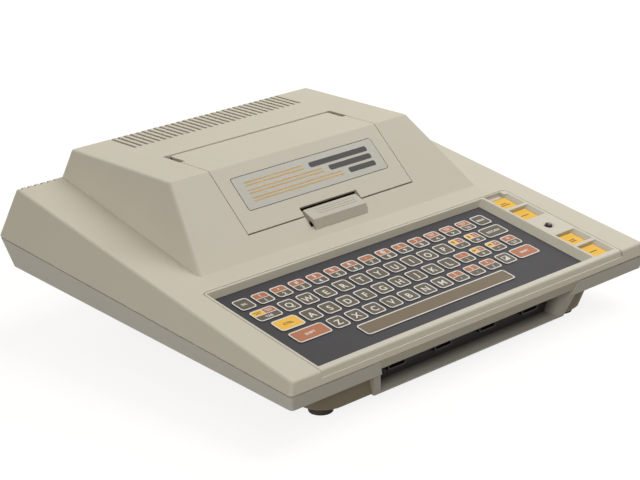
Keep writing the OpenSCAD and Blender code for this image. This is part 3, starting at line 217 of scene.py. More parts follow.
# %% The Finish class
def paint(code):
    """A colour written as #rrggbb, as a shader takes it: ((c + 0.055) / 1.055) to the power 2.4."""
    c = np.array([int(code[i : i + 2], 16) for i in (1, 3, 5)]) / 255
    linear = np.where(c <= 0.04045, c / 12.92, ((c + 0.055) / 1.055) ** 2.4)
    return (*linear.tolist(), 1.0)


class Finish(Graph):
    """A material with one Principled shader, whose steady values are set on its own sockets."""

    def __init__(self, name, **steady):
        super().__init__(bpy.data.materials.new(name))
        self.material = self.owner
        self.shader = self.node("ShaderNodeBsdfPrincipled")
        self.node("ShaderNodeOutputMaterial", {}, {"Surface": self.shader.outputs[0]})
        for socket, value in steady.items():
            self.feed(self.shader.inputs[socket.replace("_", " ")], value)

    def colour(self, value):
        """Feeds the shader's colour."""
        self.feed(self.shader.inputs["Base Color"], value)

    def rough(self, value):
        """Feeds the shader's roughness."""
        self.feed(self.shader.inputs["Roughness"], value)

    def relief(self, height, depth, strength=1.0):
        """Feeds the shader's normal from a height field, depth metres from its lowest to its highest."""
        made = self.node("ShaderNodeBump", {}, {"Strength": strength, "Distance": depth, "Height": height})
        self.feed(self.shader.inputs["Normal"], made.outputs[0])


print("Finish is ready")

# %% [markdown]
# ## Moulded plastic
# The big mouldings are ABS with a fine spark-eroded texture: grains of half a millimetre that break up
# every reflection. One flat colour would look like paint, and a photographed texture would show its
# seams. Two noises do it here, a fine one for the grain and a broad one for the faint unevenness that age
# gives the colour. The same recipe with other numbers serves the surround, the latch and the keys.


# %% Moulded plastic finishes
GRAIN = 0.00055
GRAIN_DEPTH = 0.00004
BLOTCH = 0.06


def spark_grain(f, roughness, grain=GRAIN, depth=GRAIN_DEPTH):
    """Fine noise raises the surface by depth and moves the roughness by 0.06 both ways. Returns it."""
    fine = f.noise(grain, 1.5)
    f.rough(fine * 0.12 + (roughness - 0.06))
    f.relief(fine, depth)
    return fine


def mottle(f, fine):
    """0.9 of the broad noise and 0.5 of the fine noise, each measured from the middle of its range."""
    return (f.noise(BLOTCH, 3.0) - 0.5) * 0.9 + (fine - 0.5) * 0.5 + 0.5


def moulded(name, light, dark, roughness, grain=GRAIN, depth=GRAIN_DEPTH, specular=0.4):
    """The mottle blends the two colours, and the grain makes the relief and varies the roughness."""
    f = Finish(name, Specular_IOR_Level=specular)
    f.colour(f.blend(mottle(f, spark_grain(f, roughness, grain, depth)), paint(dark), paint(light)))
    return f.material


finishes = {
    "upper_shell": moulded("upper_shell_beige", "#cdc6b4", "#c6bfac", 0.62),
    "surround": moulded("surround_beige", "#cbc5b3", "#c4beab", 0.5, 0.0005, 0.00003),
    "lower_shell": moulded("lower_shell_beige", "#c6c0b1", "#bfb9a9", 0.6),
    "latch_plastic": moulded("latch_beige", "#bab3a3", "#b2ab9a", 0.52, 0.0005, 0.00002),
    "console_yellow": moulded("console_yellow", "#f4bf38", "#ecb42c", 0.5, 0.0006, 0.000015, 0.2),
    "panel_black": moulded("jack_panel_black", "#2b2826", "#232120", 0.55, 0.0006, 0.00002),
    "black_plastic": moulded("socket_black", "#2a2826", "#211f1e", 0.42, 0.0007, 0.00001),
    "guide_brown": moulded("guide_brown", "#47413b", "#3c3732", 0.55),
    "plunger_red": moulded("plunger_red", "#bd4536", "#ad3c30", 0.4, 0.0006, 0.00001),
}
print(len(finishes), "moulded finishes")

# %% [markdown]
# ## Underneath
# Below its lip the lower half is a tub painted in a darker brown, which is painted shade, and the bay in its
# front is beige at the mouth and painted dark inside as painted shade, so that the jacks and their panel lie
# in one dark band. The feet are brown rubber whose dark tone partly holds painted shade, with a darker rim
# of painted shade along the bottom. Such pieces could be cut in two for two materials, but one material that
# looks at the height or at the depth of the point keeps each of them in one piece.

# %% Finishes of the lower half, the bay and the feet
LIP_Z = 0.0323
LIP_RISE = 0.06336
BAY_MOUTH_Y = -0.1325
BAY_SHADE_Y = -0.1215
FOOT_SHADE_Z = 0.0013


def lower_case():
    """Under the lip's lower edge, z = LIP_Z + LIP_RISE y, the tub's painted shade, and above it the lip's
    tone.
    """
    f = Finish("lower_case_beige", Specular_IOR_Level=0.4)
    _, y, z = f.axes()
    mottled = mottle(f, spark_grain(f, 0.6))
    # painted shade: the tub under the lip gets a much darker brown than the lip
    tub_painted_shade = f.blend(mottled, paint("#82765f"), paint("#8a7e68"))
    lip_tone = f.blend(mottled, paint("#cac5b8"), paint("#d2cdc1"))
    f.colour(f.blend(y * LIP_RISE + LIP_Z > z, lip_tone, tub_painted_shade))
    return f.material


def bay():
    """Between the mouth and the painted shade inside, the tone changes evenly with y, along a slightly
    ragged line.
    """
    f = Finish("bay_moulding", Specular_IOR_Level=0.3)
    _, y, _ = f.axes()
    # painted shade: from beige at the mouth the bay darkens to a dark brown inside
    painted_shade_share = (y + f.noise(0.004) * 0.001).ramp(BAY_MOUTH_Y, BAY_SHADE_Y)
    mouth_tone = f.blend(f.noise(BLOTCH, 3.0), paint("#c4beb0"), paint("#ccc6b9"))
    painted_shade_tone = f.blend(spark_grain(f, 0.6), paint("#453f35"), paint("#4d473c"))
    f.colour(f.blend(painted_shade_share, mouth_tone, painted_shade_tone))
    return f.material


def foot_rubber():
    """Up to FOOT_SHADE_Z, less by up to 0.6 mm where the noise is high, a dark rim of painted shade;
    above it a brown that partly holds painted shade.
    """
    f = Finish("foot_rubber_brown", Specular_IOR_Level=0.3)
    wear_and_shade_edge = f.noise(0.004)
    _, _, z = f.axes()
    brown = f.blend(wear_and_shade_edge, paint("#4a4438"), paint("#544d40"))
    # painted shade: a dark rim along the foot's bottom, and the brown above is kept dark as partly painted
    # shade
    f.colour(f.blend(z + wear_and_shade_edge * 0.0006 > FOOT_SHADE_Z, paint("#262421"), brown))
    f.rough(wear_and_shade_edge * 0.1 + 0.8)
    f.relief(f.noise(0.0004), 0.00003)
    return f.material


finishes |= {"lower_case": lower_case(), "bay": bay(), "rubber_black": foot_rubber()}
print("finishes of the lower half, the bay and the feet are ready")

# %% [markdown]
# ## Sheet, film and boards
# The keyboard has no keycaps. It is one printed polyester film with a very fine matt grain, dark charcoal
# between the keys. The film is smoother than the case, so it takes a soft sheen from the light, and wear
# shows first as slightly polished patches. Under it lie the contact film with its grey tracks, and the
# green boards. Tracks could be modelled one by one, but hardly any light reaches them, so waves and cells
# draw them.


# %% Key sheet, film and boards
def key_sheet():
    """Broad noise for the colour, another for the polish, and a grain of a quarter of a millimetre."""
    f = Finish("key_sheet_charcoal", Specular_IOR_Level=0.12)
    f.colour(f.blend(f.noise(0.05, 2.0), paint("#373537"), paint("#3e3c3e")))
    f.rough(f.noise(0.03, 2.0) * 0.12 + 0.42)
    f.relief(f.noise(0.00025, 1.0), 0.000006)
    return f.material


def contact_film():
    """400 tracks to the metre across x, each where the wave is over 0.32."""
    f = Finish("contact_film", Specular_IOR_Level=0.5)
    x, _, _ = f.axes()
    f.colour(f.blend((x * 400).wave() > 0.32, paint("#a09478"), paint("#6f7274")))
    f.rough(f.noise(0.01) * 0.1 + 0.35)
    return f.material


def circuit_board():
    """330 wavy tracks to the metre where another noise is high, and pads at the middles of cells."""
    f = Finish("circuit_board_green", Specular_IOR_Level=0.5)
    x, _, _ = f.axes()
    tracks = ((x * 330 + f.noise(0.02) * 2).wave() > 0.36) * (f.noise(0.012) > 0.46)
    pads = f.cells(0.0062) < 0.14
    masked = f.blend(tracks, paint("#2f4a30"), paint("#41663f"))
    f.colour(f.blend(pads, masked, paint("#b9b7ac")))
    f.rough(0.5 - pads * 0.15)
    f.relief(tracks, 0.00003, 0.6)
    return f.material


finishes |= {"key_sheet": key_sheet(), "contact_film": contact_film(), "board_green": circuit_board()}
print("sheet, film and board finishes are ready")

# %% [markdown]
# ## Metals
# Inside are cast shields, zinc-plated steel, tinned cans and spring wire, and outside are the silver
# plate on the door and the dark ends of its hinge pins. Brushing could be drawn stroke by stroke. Noise
# stretched far along one direction does the same: it hardly moves the colour, but it spreads the
# highlight across the strokes. A casting has round grains and a duller, uneven surface.


# %% Metal finishes
def metal(name, light, dark, roughness, size, depth, stretch=(1, 1, 1), metallic=1.0):
    """Noise of that size, stretched one way, blends the colours and makes roughness and relief."""
    f = Finish(name, Metallic=metallic)
    grain = f.noise(size, 3.0, stretch)
    f.colour(f.blend(grain, paint(dark), paint(light)))
    f.rough(grain * 0.16 + (roughness - 0.08))
    f.relief(grain, depth)
    return f.material


finishes |= {
    "plate_silver": metal("plate_silver", "#87847a", "#7c7970", 0.42, 0.0004, 0.000004, (0.03, 1, 1), 0.35),
    "steel": metal("zinc_steel", "#c4c3be", "#a19f96", 0.36, 0.006, 0.00001),
    "pin_steel": metal("oxidised_pin", "#56524b", "#45413b", 0.5, 0.004, 0.00001, metallic=0.6),
    "spring_steel": metal("spring_wire", "#b5b8bb", "#7c7f83", 0.3, 0.0011, 0.0002, (0.01, 0.4, 1)),
    "cast_shield": metal("cast_shield", "#a5a8aa", "#84878a", 0.58, 0.0012, 0.00008, metallic=0.85),
    "tin_can": metal("tinned_can", "#b9bcbe", "#999da0", 0.32, 0.012, 0.00002),
}
print(len(finishes), "finishes so far")

# %% [markdown]
# ## Parts on the boards
# The chips are matt epoxy, the capacitors wear a glossy blue sleeve with a light stripe, and the
# speaker's cone has rings pressed into it. The rings could be turned as real ridges. They lie in the dark
# under the case, so a wave of the distance from the cone's middle gives them as relief.

# %% Chips, capacitors and speaker
SPEAKER_X = -0.079
SPEAKER_Y = -0.006
SPEAKER_RADIUS = 0.027


def chip_epoxy():
    """Three noises of their own for colour, roughness and relief."""
    f = Finish("chip_epoxy", Specular_IOR_Level=0.45)
    f.colour(f.blend(f.noise(0.0009), paint("#1f2123"), paint("#2a2c2e")))
    f.rough(f.noise(0.004) * 0.15 + 0.4)
    f.relief(f.noise(0.0004, 1.0), 0.00001)
    return f.material


def capacitor_sleeve():
    """A light stripe where the wave of 45 to the metre along x is over 0.42."""
    f = Finish("capacitor_sleeve", Specular_IOR_Level=0.5, Coat_Weight=0.3, Coat_Roughness=0.15)
    x, _, _ = f.axes()
    f.colour(f.blend((x * 45).wave() > 0.42, paint("#33466a"), paint("#cfd2d4")))
    f.rough(f.noise(0.003) * 0.1 + 0.28)
    return f.material


def speaker_cone():
    """The radius is the root of dx squared plus dy squared: 320 rings to the metre, and a lighter edge."""
    f = Finish("speaker_cone", Specular_IOR_Level=0.3)
    x, y, _ = f.axes()
    dx = x - SPEAKER_X
    dy = y - SPEAKER_Y
    radius = (dx * dx + dy * dy).math("SQRT")
    f.colour(f.blend(radius > SPEAKER_RADIUS, paint("#2f2c29"), paint("#3a3835")))
    f.rough(f.noise(0.001) * 0.2 + 0.65)
    f.relief((radius * 320).wave(), 0.0002)
    return f.material


finishes |= {
    "chip_black": chip_epoxy(),
    "capacitor_blue": capacitor_sleeve(),
    "speaker_black": speaker_cone(),
}
print("chips, capacitors and speaker are ready")

# %% [markdown]
# ## The power light
# The lamp is a domed lens of deep red plastic. Clear plastic with a bulb behind it could be made, but
# unlit it looks almost black from outside, with one soft highlight. A dark red under a weak, smooth coat
# is enough.


# %% Lamp lens
def lamp_lens():
    """Two very dark reds under a coat of 0.1."""
    f = Finish("lamp_lens_red", Roughness=0.16, Coat_Weight=0.1, Coat_Roughness=0.08, Specular_IOR_Level=0.3)
    f.colour(f.blend(f.noise(0.002), paint("#2e0b0c"), paint("#3a1110")))
    return f.material


finishes["lamp_red"] = lamp_lens()
print("all", len(finishes), "finishes are ready")

# %% [markdown]
# ## Giving each node its finish
# Every CAD node names its finish once. It could be written the other way round, a finish for each node,
# but nodes of the same kind share one, as they came from the same supplier on the real machine.

# %% Assign finishes
worn_by = {
    "upper_shell": "top_case cartridge_door",
    "surround": "keyboard_bezel",
    "lower_case": "bottom_case",
    "bay": "jack_bay",
    "lower_shell": "socket_bay socket_wall",
    "latch_plastic": "door_latch",
    "plate_silver": "nameplate",
    "pin_steel": "door_hinge_pins",
    "steel": "keyboard_backplate keyboard_screws shield_screws case_screws",
    "spring_steel": "latch_spring console_key_springs",
    "key_sheet": "keyboard_sheet",
    "contact_film": "keyboard_contacts keyboard_tail",
    "console_yellow": "console_key_1 console_key_2 console_key_3 console_key_4",
    "board_green": "console_board main_board processor_card memory_card power_board",
    "lamp_red": "power_led",
    "panel_black": "jack_panel lead_gland",
    "black_plastic": "keyboard_connector controller_jack_1 controller_jack_2 controller_jack_3"
    " controller_jack_4 card_connectors cartridge_connector interlock_switch peripheral_socket"
    " channel_slider power_switch power_rocker power_socket",
    "chip_black": "main_board_chips card_chips regulators",
    "cast_shield": "shield_lower shield_upper heat_sink",
    "guide_brown": "cartridge_guide side_panel",
    "plunger_red": "interlock_plunger",
    "capacitor_blue": "filter_capacitors",
    "tin_can": "channel_switch rf_modulator",
    "rubber_black": "rubber_feet",
    "speaker_black": "speaker",
}
dressed = set()
for finish_name, members in worn_by.items():
    for member in members.split():
        nodes[member].data.materials.clear()
        nodes[member].data.materials.append(finishes[finish_name])
        dressed.add(member)
print("dressed", len(dressed), "nodes; still bare:", sorted(set(nodes) - dressed))

# %% [markdown]
# ## Working on the sloping faces
# The deck and the hump's front face slope. A print could be drawn in the room's own axes, but it is
# easier to think of it as flat, in millimetres across, up the slope and out of it. Three small functions
# go there and back: they turn points about X by the slope's angle and move them to the slope's lower or
# upper edge.

# %% Frames of the deck and of the hump's face
# The angle in degrees, then y and z of the edge that the slope is measured from, in millimetres
DECK = (10.54, -143.568, 42.6)
HUMP_FACE = (42.8, 31.7, 113.3)


def tilted(points, slope):
    """x, up, out in mm become x, y0 + up cos a - out sin a, z0 + up sin a + out cos a, in metres."""
    angle, y0, z0 = slope
    across, upward, outward = np.asarray(points, float).T
    a = math.radians(angle)
    y = y0 + upward * math.cos(a) - outward * math.sin(a)
    z = z0 + upward * math.sin(a) + outward * math.cos(a)
    return np.stack([across, y, z], 1) / 1000


def flattened(points, slope):
    """The way back, in mm: up is dy cos a + dz sin a, and out is dz cos a - dy sin a, from y0 and z0."""
    angle, y0, z0 = slope
    x, y, z = np.asarray(points, float).T * 1000
    a = math.radians(angle)
    upward = (y - y0) * math.cos(a) + (z - z0) * math.sin(a)
    outward = (z - z0) * math.cos(a) - (y - y0) * math.sin(a)
    return np.stack([x, upward, outward], 1)


def on_deck(points):
    """The deck's slope, from its front edge."""
    return tilted(points, DECK)


def on_hump_face(points):
    """The slope of the hump's face, from its upper edge."""
    return tilted(points, HUMP_FACE)


print("deck corner", on_deck([[0, 0, 0]]).round(4).tolist())

# %% [markdown]
# ## The leaning wall of the window
# The surround's window has a right wall that leans outwards, while the CAD solid keeps it steep. The wall
# could be modelled again, but it is enough to move its top edge on the copy that is made in the next
# step.

# %% Lean the window's right wall
WALL_X = (115.3, 116.5)
WALL_UP = (4, 109)
WALL_LEAN = 2.5
IN_PLANE = 0.05


def corners_of(mesh):
    """The corners of a mesh as one array, a row of x, y and z for each."""
    points = np.zeros(len(mesh.vertices) * 3)
    mesh.vertices.foreach_get("co", points)
    return points.reshape(-1, 3)


def lean_window_wall(points):
    """x grows by the lean where a point is in the deck's plane and between the wall's ends and faces."""
    x, upward, outward = flattened(points, DECK).T
    across_wall = (WALL_X[0] < x) & (x < WALL_X[1])
    along_wall = (WALL_UP[0] < upward) & (upward < WALL_UP[1])
    top_edge = across_wall & along_wall & (abs(outward) < IN_PLANE)
    points[top_edge, 0] += WALL_LEAN / 1000
    print("corners of the window wall's top edge moved:", int(top_edge.sum()))
    return points


print("window wall leans", WALL_LEAN, "mm")

# %% [markdown]
# ## Rounding the light on the mouldings
# The CAD mesh shades every small facet of a rounded edge flat, and smoothing everything would swell the
# broad faces. For the six big mouldings a copy is merged into one skin, its real edges are marked as
# sharp, and the normals are weighted by area, so that the broad faces stay flat and only the narrow
# rounded edges turn smoothly. The copy stands in for the node, exactly where it was.

# %% Smooth copies of the mouldings
SHARP_ANGLE = math.radians(28)
MERGE_WITHIN = 2e-6


def smooth_copy(name, node, body, shape=None):
    """A merged copy of a node, smooth where faces meet at less than SHARP_ANGLE. shape moves its corners."""
    shell = add_object(name, nodes[node].data.copy())
    if shape:
        shell.data.vertices.foreach_set("co", shape(corners_of(shell.data)).ravel())
    skin = bmesh.new()
    skin.from_mesh(shell.data)
    bmesh.ops.remove_doubles(skin, verts=skin.verts, dist=MERGE_WITHIN)
    for edge in skin.edges:
        edge.smooth = len(edge.link_faces) == 2 and edge.calc_face_angle() < SHARP_ANGLE
    for face in skin.faces:
        face.smooth = True
    skin.to_mesh(shell.data)
    skin.free()
    if "custom_normal" in shell.data.attributes:
        shell.data.attributes.remove(shell.data.attributes["custom_normal"])
    weighted = shell.modifiers.new("even_faces", "WEIGHTED_NORMAL")
    weighted.keep_sharp = True
    weighted.weight = 80
    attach(shell, body)
    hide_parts(node)
    print(name, len(shell.data.polygons), "faces")


smooth_copy("upper_moulding", "top_case", "case")
smooth_copy("lower_moulding", "bottom_case", "case")
smooth_copy("jack_bay_moulding", "jack_bay", "case")
smooth_copy("socket_bay_moulding", "socket_bay", "case")
smooth_copy("door_moulding", "cartridge_door", "door")
smooth_copy("surround_moulding", "keyboard_bezel", "case", lean_window_wall)

# %% [markdown]
# ## Flat shapes with thickness
# A print is only a few hundredths of a millimetre thick. It could be a picture on the sheet, but pictures
# blur from near by, and a closed slab with real sides shades and exports better than a lone face. Every
# outline is an array of points; a slab is that outline at two heights, and a ring is two outlines at two
# heights, joined as one closed band.


# %% Outlines, slabs and rings
def rounded(w, h, radii, steps=6):
    """Corner k is its middle plus its radius times (cos t, sin t), while t runs through the k-th quarter."""
    r = np.maximum(np.asarray(radii, float), 0.02)[:, None]
    side = np.array([[1, 1], [-1, 1], [-1, -1], [1, -1]])
    t = (np.arange(4)[:, None] + np.linspace(0, 1, steps)[None, :]) * math.pi / 2
    x = side[:, :1] * (w / 2 - r) + r * np.cos(t)
    y = side[:, 1:] * (h / 2 - r) + r * np.sin(t)
    return np.stack([x.ravel(), y.ravel()], 1)


def band(loops):
    """Joins loops of equal length, each to the next and the last to the first, with quads."""
    m, n = loops.shape[:2]
    i, j = np.meshgrid(np.arange(m), np.arange(n), indexing="ij")
    i2, j2 = (i + 1) % m, (j + 1) % n
    quads = np.stack([i * n + j, i * n + j2, i2 * n + j2, i2 * n + j], -1).reshape(-1, 4)
    return loops.reshape(-1, 3), quads.tolist()


def at_height(outline, out):
    """The outline's points with the same height for each."""
    return np.column_stack([outline, np.full(len(outline), out)])


def slab(outline, middle, low, high):
    """The outline at two heights, closed by itself at both ends and by quads round its side."""
    flat = outline + np.asarray(middle)
    n = len(flat)
    points = np.concatenate([at_height(flat, low), at_height(flat, high)])
    k = np.arange(n)
    sides = np.stack([k, (k + 1) % n, (k + 1) % n + n, k + n], 1).tolist()
    return points, sides + [k[::-1].tolist(), (k + n).tolist()]


def ring(outer, inner, middle, low, high):
    """Four loops: outer low, outer high, inner high, inner low."""
    o, i = outer + np.asarray(middle), inner + np.asarray(middle)
    return band(np.stack([at_height(o, low), at_height(o, high), at_height(i, high), at_height(i, low)]))


print("a slab of 12.7 mm has", len(slab(rounded(12.7, 12.7, [2.6] * 4), (0, 0), 0, 1)[1]), "faces")


# %% Build a print
def build(name, parts, place, material, body):
    """Puts many small closed shapes, laid out flat, on a sloping face as one piece that rides on a body."""
    points, faces, start = [], [], 0
    for part_points, part_faces in parts:
        points.append(part_points)
        faces += [[start + c for c in face] for face in part_faces]
        start += len(part_points)
    mesh = bpy.data.meshes.new(name)
    mesh.from_pydata(place(np.concatenate(points)).tolist(), [], faces)
    mesh.update()
    skin = bmesh.new()
    skin.from_mesh(mesh)
    bmesh.ops.recalc_face_normals(skin, faces=skin.faces)
    skin.to_mesh(mesh)
    skin.free()
    made = add_object(name, mesh)
    mesh.materials.append(material)
    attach(made, body)
    print(name, len(parts), "shapes,", len(faces), "faces")


print("prints can be built")

# %% [markdown]
# ## Lettering
# Keys carry plain capitals and figures. Blender's own font gives the outlines: a text curve is thickened,
# turned into a mesh and then laid down like any other flat shape, so no letter has to be drawn by hand.
# The capitals are a little bolder than the font, as silk-screen ink spreads.

# %% Words as flat shapes
drawn = {}


def words(text, size, middle, low, high, bold=0.018, wide=1.0):
    """The text's mesh, centred on its own box, moved to middle, its back at low and its front at high."""
    key = (text, size, bold, wide)
    if key not in drawn:
        curve = bpy.data.curves.new("lettering", "FONT")
        curve.body = text
        curve.size = size
        curve.resolution_u = 3
        curve.offset = bold * size
        curve.extrude = 0.5
        holder = add_object("lettering", curve)
        bpy.context.view_layer.update()
        shape = holder.evaluated_get(bpy.context.evaluated_depsgraph_get()).to_mesh()
        points = corners_of(shape)
        points[:, :2] -= (points[:, :2].min(0) + points[:, :2].max(0)) / 2
        points[:, 0] *= wide
        drawn[key] = (points, [list(p.vertices) for p in shape.polygons])
        bpy.data.objects.remove(holder)
        bpy.data.curves.remove(curve)
    points, faces = drawn[key]
    lift = np.where(points[:, 2] > 0, high, low)
    return np.column_stack([points[:, :2] + np.asarray(middle), lift]), faces


def arrow(length, width, turn, middle, low, high):
    """A shaft and a head as one outline of seven points, turned by a number of degrees."""
    head, shaft = width / 2, width * 0.17
    tip = length / 2
    neck = tip - head
    upper_side = [[tip, 0], [neck, head], [neck, shaft], [-tip, shaft]]
    flat = np.array([[-tip, -shaft], [neck, -shaft], [neck, -head]] + upper_side)
    a = math.radians(turn)
    turning = np.array([[math.cos(a), math.sin(a)], [-math.sin(a), math.cos(a)]])
    return slab(flat @ turning, middle, low, high)


print("lettering is ready")

# %% [markdown]
# ## The keys
# There are five rows of flat keys. Most are 12.7 mm squares with round corners at a pitch of 16 mm, and
# six are wide. Each has a coloured field, a light line round it, and a legend. Keys with two characters
# are split by a line: the upper half is orange, or a yellow and an orange quarter, and the lower half is
# brown. Rather than place each key by hand, a row is a line of legends, and its keys follow one another
# at the pitch.

# %% Where the keys are and what they say
TOP_ROW, ROW_PITCH, KEY_PITCH = 90.6, 16.2, 16
ROW_V = [TOP_ROW - ROW_PITCH * i for i in range(5)]
KEY, CORNER, LINE = 12.7, 2.6, 0.95
SHEET_OUT = -4.5
runs = [
    (0, -125, "ESC 1! 2\" 3# 4$ 5% 6& 7' 8@ 9( 0) <~ >~ ~~ BREAK"),
    (1, -101, "Q W E R T Y U I O P |-_ |=|"),
    (2, -97, "A S D F G H J K L ;: |+\\ |*^ ~="),
    (3, -89, "Z X C V B N M ,[ .] /? []"),
]
wide_keys = [
    (1, -120.8, 20, "TAB"), (1, 94.3, 21.2, "RETURN"), (2, -116.8, 20.6, "CTRL"),
    (3, -113, 28.6, "SHIFT"), (3, 90.5, 21.2, "SHIFT"), (4, -13.6, 140.2, ""),
]
keys = [
    (x + KEY_PITCH * i, ROW_V[row], KEY, legend)
    for row, x, line in runs
    for i, legend in enumerate(line.split())
]
keys += [(x, ROW_V[row], w, legend) for row, x, w, legend in wide_keys]
print(len(keys), "keys")

# %% [markdown]
# ## Fields, lines and legends
# Screen printing lays one ink after the other, and so does this step. Every shape goes into the layer of
# its ink, fields first and marks a little above them, and each layer becomes one piece.

# %% Layers of the print
layers = {name: [] for name in ("brown", "orange", "yellow", "space", "line", "light", "dark")}
FIELD = (SHEET_OUT + 0.005, SHEET_OUT + 0.025)
INK = (SHEET_OUT + 0.02, SHEET_OUT + 0.045)
FIELD_H = KEY - LINE
ROUND = CORNER - LINE / 2
TIGHT = 0.1
SPLIT = 0.5
GUTTER = 0.4


def field(layer, x, v, w, h, radii):
    """A rounded coloured field about x and v."""
    layers[layer].append(slab(rounded(w, h, radii), (x, v), *FIELD))


def divider(x, v, w, h):
    """A straight line that divides a field."""
    layers["line"].append(slab(rounded(w, h, [TIGHT] * 4, 2), (x, v), *INK))


def mark(x, v, text, size, layer="light"):
    """One small character, or the two bars that stand for a longer word, 0.75 mm over and under v."""
    if text == "~":
        for k, length in enumerate((6.0, 4.4)):
            bar = rounded(length, 0.55, [0.2] * 4, 3)
            layers[layer].append(slab(bar, (x, v + 0.75 - 1.5 * k), *INK))
    else:
        layers[layer].append(words(text, size, (x, v), *INK, bold=0.03))


print("layers", list(layers))

# %% Keys of one field
FIELD_OF = {
    "CTRL": "yellow", "SHIFT": "orange", "": "space", "RETURN": "brown", "ESC": "brown", "BREAK": "brown",
}
SQUARE = 5.4
SQUARE_LINE = 0.6


def word_key(x, v, w, legend):
    """One field with a word, a little larger and wider on wide keys, and none on the space bar."""
    field(FIELD_OF[legend], x, v, w - LINE, FIELD_H, [ROUND] * 4)
    if legend:
        is_wide = w > 15
        word = words(legend, 3.1 if is_wide else 3.0, (x, v), *INK, bold=0.03, wide=1.1 if is_wide else 0.85)
        layers["dark" if legend == "CTRL" else "light"].append(word)


def half_filled_square_key(x, v, w):
    """A square line, and the triangle under its diagonal."""
    field("brown", x, v, w - LINE, FIELD_H, [ROUND] * 4)
    hole = SQUARE - 2 * SQUARE_LINE
    outline = ring(rounded(SQUARE, SQUARE, [0.3] * 4), rounded(hole, hole, [TIGHT] * 4), (x, v), *INK)
    c = hole / 2 + 0.1
    triangle = slab(np.array([[c, c], [-c, -c], [c, -c]]), (x, v), *INK)
    layers["light"] += [outline, triangle]


def letter_key(x, v, w, legend):
    """One field with a large letter, which sits 0.4 mm under its middle."""
    field("brown", x, v, w - LINE, FIELD_H, [ROUND] * 4)
    layers["light"].append(words(legend, 7.6, (x, v - 0.4), *INK))


print(len(FIELD_OF), "kinds of word key")

# %% Keys of two halves
ARROW_TURN = {"-": 90, "=": 270, "+": 180, "*": 0}


def upper_half(x, v, w, h):
    """One orange field with round upper corners."""
    field("orange", x, v, w, h, [ROUND, ROUND, TIGHT, TIGHT])


def upper_quarters(x, v, w, h):
    """A yellow and an orange field with a line between them. Returns how far from x their marks sit."""
    q = (w - GUTTER) / 2
    aside = q / 2 + GUTTER / 2
    field("yellow", x - aside, v, q, h, [TIGHT, ROUND, TIGHT, TIGHT])
    field("orange", x + aside, v, q, h, [ROUND, TIGHT, TIGHT, TIGHT])
    divider(x, v, SPLIT, h)
    return q / 2


def split_key(x, v, w, legend):
    """The two halves have their middles a quarter of the height over and under the key's own middle."""
    field_w = w - LINE
    half = (FIELD_H - SPLIT) / 2
    low, high = v - (FIELD_H + SPLIT) / 4, v + (FIELD_H + SPLIT) / 4
    field("brown", x, low, field_w, half, [TIGHT, TIGHT, ROUND, ROUND])
    divider(x, v, w - 1.4 * LINE, 0.6)
    if legend == "TAB":
        aside = upper_quarters(x, high, field_w, half)
        mark(x, low, "TAB", 3.2)
        mark(x - aside, high, "~", 2, "dark")
        mark(x + aside, high, "~", 2)
    elif legend.startswith("|"):
        aside = upper_quarters(x, high, field_w, half)
        pointer = arrow(3.6, 2.8, ARROW_TURN[legend[1]], (x - aside - GUTTER / 2, high), *INK)
        layers["dark"].append(pointer)
        mark(x + aside, high, legend[2], 3.6)
        mark(x, low, legend[1], 4.6)
    else:
        upper_half(x, high, field_w, half)
        mark(x, high, legend[1], 4.2)
        mark(x, low, legend[0], 4.6)


print(len(ARROW_TURN), "directions of arrow")

# %% Lay out all the keys
for x, v, w, legend in keys:
    outer = rounded(w, KEY, [CORNER] * 4)
    inner = rounded(w - 2 * LINE, KEY - 2 * LINE, [CORNER - LINE] * 4)
    layers["line"].append(ring(outer, inner, (x, v), *INK))
    if legend in FIELD_OF:
        word_key(x, v, w, legend)
    elif legend == "[]":
        half_filled_square_key(x, v, w)
    elif len(legend) == 1:
        letter_key(x, v, w, legend)
    else:
        split_key(x, v, w, legend)
print({name: len(parts) for name, parts in layers.items()})

# %% [markdown]
# ## Printing inks
# The inks sit on the polyester as thin, slightly uneven films, so each is a finish of its own and not a
# flat colour. The brown of the space bar is warmer than that of the letter keys, because it was printed
# as a larger tint.


# %% Inks
def ink(name, light, dark, roughness=0.42):
    """A printed colour: 0.6 of broad noise for the film's thickness and 0.4 of the screen's speckle."""
    f = Finish(name, Specular_IOR_Level=0.15)
    f.colour(f.blend(f.noise(0.02) * 0.6 + f.noise(0.0005, 1.0) * 0.4, paint(dark), paint(light)))
    f.rough(f.noise(0.015) * 0.08 + roughness)
    return f.material


inks = {
    "brown": ink("ink_brown", "#645a49", "#5a5141"),
    "orange": ink("ink_orange", "#b97753", "#af6f4c"),
    "yellow": ink("ink_yellow", "#f8c350", "#f0b944"),
    "space": ink("ink_space_brown", "#776850", "#6f6049"),
    "line": ink("ink_line_white", "#e8e2dc", "#dcd7d0"),
    "light": ink("ink_legend_white", "#e6e3da", "#dbd8cf"),
    "dark": ink("ink_legend_dark", "#5a4a2c", "#4d3f26"),
}
for name, parts in layers.items():
    build("print_" + name, parts, on_deck, inks[name], "case")

# %% [markdown]
# ## Function keys and numbers in the bay
# The four yellow keys beside the keyboard get plain dark bars, each in a pattern of its own. They are
# pieces apart from the caps, so that they stay crisp, and they ride on the caps and move with them. The
# jacks in the bay get the plain numbers 1 to 4 on the black panel, above the left end of each jack.

